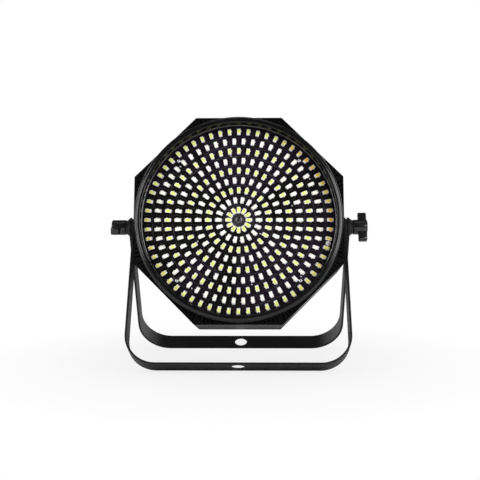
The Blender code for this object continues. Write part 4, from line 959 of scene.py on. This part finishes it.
def board_screws():
    for index in range(BOARD_SCREW_COUNT):
        turn = math.radians(45 + 90 * index)
        made = pan_head(
            radius=0.0018, height=0.0011, shank=0.0011, length=0.0060, recess=0.00105, steps=32
        )
        rounded(made, width=0.00006, segments=2, limit=40)
        place = on_board(SEAT_LIFT, BOARD_SCREW_CIRCLE, turn)
        place = place @ Matrix.Rotation(turn * BOARD_SCREW_TWIST, 4, "Z")
        name = f"board_screw_head_{index + 1}"
        replaced = [f"board_screw_{index + 1}"]
        piece(name, made, "bright", "head", place, replaced)


def sensor():
    profile = [(0, 0), (SENSOR_RADIUS, 0), (SENSOR_RADIUS, SENSOR_SIDE)]
    profile += [
        (SENSOR_RADIUS * math.cos(turn), SENSOR_SIDE + SENSOR_CROWN * math.sin(turn))
        for turn in quarter_turns(1)
    ]
    profile.append((0, SENSOR_SIDE + SENSOR_CROWN))
    dome = to_object(lathe(profile, SMALL_STEPS, closed=False))
    place = on_board(SEAT_LIFT, SENSOR_CIRCLE, SENSOR_ANGLE)
    piece("sensor_dome", dome, "sensor", "head", place, ["remote_sensor"])


# Brackets, washers and knobs


def u_outline(half_width, drop, bend, top, steps):
    """A strap's edge: down outside, round two bends, up, and back along the inside."""
    left = (bend - half_width, bend - drop)
    right = (half_width - bend, bend - drop)
    down = 1.5 * math.pi
    return [
        (-half_width, top),
        *arc(left, bend, math.pi, down, steps),
        *arc(right, bend, down, math.tau, steps),
        (half_width, top),
        (half_width - SHEET, top),
        *arc(right, bend - SHEET, math.tau, down, steps),
        *arc(left, bend - SHEET, down, math.pi, steps),
        (SHEET - half_width, top),
    ]


TO_X = Matrix.Rotation(math.radians(90), 4, "Y")
TO_Y = Matrix.Rotation(math.radians(-90), 4, "X")


def bracket(name, half_width, drop, bend, matrix):
    """A bent strap with round ends, holes for the screws and a hole for a clamp."""
    half = STRAP_WIDTH / 2 - STRAP_SIDE_MARGIN
    outline = u_outline(half_width, drop - STRAP_FOOT_MARGIN, bend, STRAP_WIDTH, 20)
    strap = to_object(prism(outline, -STRAP_WIDTH, STRAP_WIDTH))
    low = -drop - STRAP_WIDTH
    side = [(-half, low), (half, low), *arc((0, 0), half, 0, math.pi, 32)]
    limit = to_object(turned(prism(side, -half_width - half, half_width + half), TO_X))
    carved(strap, "INTERSECT", limit)
    screws = circle(SCREW_RADIUS + TURNING_GAP, SMALL_STEPS)
    screws = turned(prism(screws, -half_width - SHEET, half_width + SHEET), TO_X)
    clamp = turned(prism(circle(CLAMP_HOLE_RADIUS, 64), -drop - SHEET, 2 * SHEET - drop), TO_Y)
    carved(strap, "DIFFERENCE", to_object(screws), to_object(clamp))
    rounded(strap, STRAP_ROUNDING, limit=40)
    piece(f"{name}_strap", strap, "powder", name, matrix, [name], 35)


def washer(thickness):
    edge = min(WASHER_EDGE, thickness / 3)
    profile = [
        (WASHER_BORE, 0), (WASHER_RADIUS - edge, 0), (WASHER_RADIUS, edge),
        (WASHER_RADIUS, thickness - edge), (WASHER_RADIUS - edge, thickness),
        (WASHER_BORE, thickness),
    ]
    return to_object(lathe(profile, SMALL_STEPS * 2))


def knob(turn):
    """A barrel with a rounded T bar across its outer end."""
    profile = [(0, 0), *((KNOB_RADIUS - inset, z) for inset, z in KNOB_FOOT)]
    corner = (KNOB_RADIUS - KNOB_FILLET, KNOB_LENGTH - KNOB_FILLET)
    profile += arc(corner, KNOB_FILLET, 0, math.pi / 2, 6)
    floor_level = KNOB_LENGTH - KNOB_DIMPLE_DEPTH
    profile += [(KNOB_DIMPLE_RIM, KNOB_LENGTH), (KNOB_DIMPLE_FLOOR, floor_level), (0, floor_level)]
    barrel = to_object(lathe(profile, 64, closed=False))
    bar = prism(rounded_rectangle(BAR_LENGTH, BAR_WIDTH, BAR_CORNER, 8), *BAR_LEVELS)
    for vertex in bar.verts:
        share = min(1.0, abs(vertex.co.x) / (BAR_LENGTH / 2))
        vertex.co.y *= 1.0 - BAR_WAIST / (BAR_WIDTH / 2) * (1 - share)
    bar = to_object(turned(bar, Matrix.Rotation(turn, 4, "Z")))
    applied(rounded(bar, BAR_ROUNDING, segments=4, limit=40))
    return carved(barrel, "UNION", bar)


def side(name, sign, knob_turn):
    """The washers and knob on one side."""
    upright = Matrix.Rotation(HEAD_TILT - math.radians(90), 4, "X")
    outward = upright @ Matrix.Rotation(sign * math.radians(90), 4, "Y")

    def at(station):
        return ON_PIVOT @ Matrix.Translation((sign * station, 0, 0)) @ outward

    for title, (thickness, look, body, slot, station, node) in WASHERS.items():
        made = washer(thickness)
        piece(f"{title}_{name}", made, look, body, at(station + GAP), [f"{node}_{name}"])
    made, node = knob(knob_turn), f"knob_{name}"
    piece(f"t_knob_{name}", made, "knob", node, at(KNOB_SEAT), [node], 35)


# Safety eye on the back


def rod(points, radius, sides):
    """A round rod with flat ends, through points in a plane of constant y."""
    bm = bmesh.new()
    rings = []
    for index, point in enumerate(points):
        before, after = points[max(index - 1, 0)], points[min(index + 1, len(points) - 1)]
        across = (after - before).normalized().cross(Vector((0, 1, 0)))
        rings.append([
            bm.verts.new(point + across * x + Vector((0, y, 0))) for x, y in circle(radius, sides)
        ])
    for first, second in zip(rings, rings[1:]):
        for step in range(sides):
            after = (step + 1) % sides
            bm.faces.new((first[step], first[after], second[after], second[step]))
    bm.faces.new(rings[0])
    bm.faces.new(rings[-1])
    return bm


def safety_eye():
    """A bent rod on a small plate."""
    crown = EYE_BASE - EYE_PLATE_THICKNESS - EYE_REACH
    root = EYE_BASE - EYE_SUNK
    bend = [math.pi * step / 36 for step in range(37)]
    points = [
        Vector((-EYE_BEND, EYE_HEIGHT, root)),
        *(
            Vector((-EYE_BEND * math.cos(t), EYE_HEIGHT, crown - EYE_BEND * math.sin(t)))
            for t in bend
        ),
        Vector((EYE_BEND, EYE_HEIGHT, root)),
    ]
    outline = rounded_rectangle(*EYE_PLATE_SIZE, EYE_PLATE_CORNER, 5, (0, EYE_HEIGHT))
    plate = to_object(prism(outline, EYE_BASE - EYE_PLATE_THICKNESS, EYE_BASE))
    applied(rounded(plate, EYE_PLATE_ROUNDING))
    carved(plate, "UNION", to_object(rod(points, EYE_ROD_RADIUS, 24)))
    piece("eye_loop", plate, "zinc", "head", HEAD, ["safety_eye"], 40)


# CAD nodes whose shape is right: their look, and the radius of a finer edge
CARRIED = {
    "front_cover": ("cover", 0.00022),
    "rear_housing": ("shell", 0.0003),
    "lens_gasket": ("rubber", 0),
    "heat_sink": ("aluminium", 0.0002),
    **{f"housing_screw_{number}": ("zinc", 0) for number in range(1, 5)},
    "fan_frame": ("socket", 0.0003),
    "fan_rotor": ("socket", 0),
    "control_board": ("circuit", 0),
    "power_supply": ("circuit", 0),
    "driver_board": ("circuit", 0),
    "display": ("display", 0.0002),
    **{f"menu_button_{number}": ("button", 0.0005) for number in range(1, 5)},
    "signal_in_socket": ("socket", 0.0003),
    "signal_out_socket": ("socket", 0.0003),
    "power_inlet": ("socket", 0.0003),
    "fuse_holder": ("socket", 0.0003),
    "fuse_cap": ("button", 0.0004),
    "lamp_cable": ("red_wire", 0),
    "mains_cable": ("black_wire", 0),
    "pivot_insert_left": ("brass", 0),
    "pivot_insert_right": ("brass", 0),
    "knob_screw_left": ("zinc", 0),
    "knob_screw_right": ("zinc", 0),
}


def carry_nodes():
    for name, (look, edge) in CARRIED.items():
        node = NODES[name]
        node.data.materials.clear()
        node.data.materials.append(LOOKS[look].material)
        weld = node.modifiers.new("weld", "WELD")
        weld.merge_threshold = 0.00001
        if edge:
            rounded(node, edge, segments=2, limit=40)
        smooth(node, 35)
        even = node.modifiers.new("even", "WEIGHTED_NORMAL")
        even.keep_sharp = True


# Camera, lights, floor and background


def facing(direction):
    """The turn of a camera or lamp that looks along a direction."""
    return direction.to_track_quat("-Z", "Y").to_matrix().to_4x4()


def camera():
    """A view from the front, level with the head and a little to its right."""
    data = bpy.data.cameras.new("camera")
    data.sensor_width = 36
    data.lens = FOCAL_LENGTH
    data.clip_start = 0.01
    data.clip_end = 60
    made = bpy.data.objects.new("camera", data)
    bpy.context.scene.collection.objects.link(made)
    across, ahead = math.sin(CAMERA_YAW), math.cos(CAMERA_YAW)
    level, down = math.cos(CAMERA_PITCH), -math.sin(CAMERA_PITCH)
    turn = facing(Vector((across * level, ahead * level, down)))
    roll = Matrix.Rotation(CAMERA_ROLL, 4, "Z")
    made.matrix_world = Matrix.Translation(CAMERA_PLACE) @ turn @ roll
    bpy.context.scene.camera = made


def softbox(name, azimuth, elevation, width, height, power):
    """A rectangular lamp that faces the head."""
    data = bpy.data.lights.new(name, "AREA")
    data.shape = "RECTANGLE"
    data.size, data.size_y = width, height
    data.energy = power
    made = bpy.data.objects.new(name, data)
    bpy.context.scene.collection.objects.link(made)
    a, e = math.radians(azimuth), math.radians(elevation)
    away = Vector((math.sin(a) * math.cos(e), -math.cos(a) * math.cos(e), math.sin(e)))
    made.matrix_world = Matrix.Translation(LIGHT_AIM + away * LIGHT_DISTANCE) @ facing(-away)
    made.visible_camera = False


def background():
    """White for the camera, also through the lens, and dim for light and most mirrors."""
    world = bpy.data.worlds.new("studio")
    bpy.context.scene.world = world
    world.use_nodes = True
    made = Nodes(world.node_tree)
    path = made.node("ShaderNodeLightPath").outputs
    direction = made.node("ShaderNodeTexCoord").outputs["Generated"]
    split = made.node("ShaderNodeSeparateXYZ")
    made.link(direction, split.inputs["Vector"])
    backwards = made.ranged(split.outputs["Y"], *BACKDROP_Y)
    low_down = made.ranged(split.outputs["Z"], *BACKDROP_Z)
    wall = made.math("MAXIMUM", made.math("MULTIPLY", backwards, low_down), MIRRORED_LEVEL)
    scattered = made.math("MINIMUM", path["Diffuse Depth"], 1.0)
    bounced = made.math("MINIMUM", path["Glossy Depth"], 1.0)
    through = made.math(
        "MULTIPLY", path["Is Transmission Ray"], made.math("SUBTRACT", 1.0, scattered)
    )
    straight = made.math("MULTIPLY", through, made.math("SUBTRACT", 1.0, bounced))
    seen = made.math("MAXIMUM", path["Is Camera Ray"], straight)
    mirrored = made.math(
        "MAXIMUM", path["Is Glossy Ray"], made.math("MULTIPLY", through, bounced)
    )
    rest = made.math("SUBTRACT", made.math("SUBTRACT", 1.0, seen), mirrored)
    lit = made.math(
        "ADD", made.math("MULTIPLY", mirrored, wall), made.math("MULTIPLY", rest, AMBIENT_LEVEL)
    )
    back = world.node_tree.nodes["Background"].inputs
    back["Color"].default_value = (1, 1, 1, 1)
    made.link(made.math("ADD", seen, lit), back["Strength"])


def floor():
    """A pale floor that fades into the white background away from the object."""
    made = to_object(prism(circle(FLOOR_RADIUS, 96), *FLOOR_LEVELS), "floor")
    look = Surface("floor", (0.90, 0.90, 0.90), 0.9, level=0.1)
    path = look.node("ShaderNodeLightPath").outputs
    length = look.node("ShaderNodeVectorMath", operation="LENGTH")
    look.link(look.coordinates, length.inputs[0])
    fade = look.ranged(length.outputs["Value"], *FLOOR_FADE, *FLOOR_WHITE, kind="LINEAR")
    rays = look.math("ADD", path["Is Camera Ray"], path["Is Transmission Ray"], clamp=True)
    mix = look.node("ShaderNodeMixShader")
    glow = look.node("ShaderNodeEmission")
    look.link(look.math("MULTIPLY", fade, rays), mix.inputs["Fac"])
    look.link(look.shader.outputs["BSDF"], mix.inputs[1])
    look.link(glow.outputs["Emission"], mix.inputs[2])
    look.link(mix.outputs["Shader"], look.tree.nodes["Material Output"].inputs["Surface"])
    made.data.materials.append(look.material)


def studio():
    bpy.context.scene.view_settings.view_transform = "Standard"
    for name, values in LIGHTS.items():
        softbox(name, *values)
    background()
    floor()


camera()
bezel()
lens()
board()
lamps()
chips()
centre_screw()
board_screws()
sensor()
bracket("front_bracket", FRONT_HALF, FRONT_DROP, FRONT_BEND, FRONT)
bracket("rear_bracket", REAR_HALF, REAR_DROP, REAR_BEND, REAR)
side("right", 1, RIGHT_KNOB_TURN)
side("left", -1, LEFT_KNOB_TURN)
safety_eye()
carry_nodes()
studio()
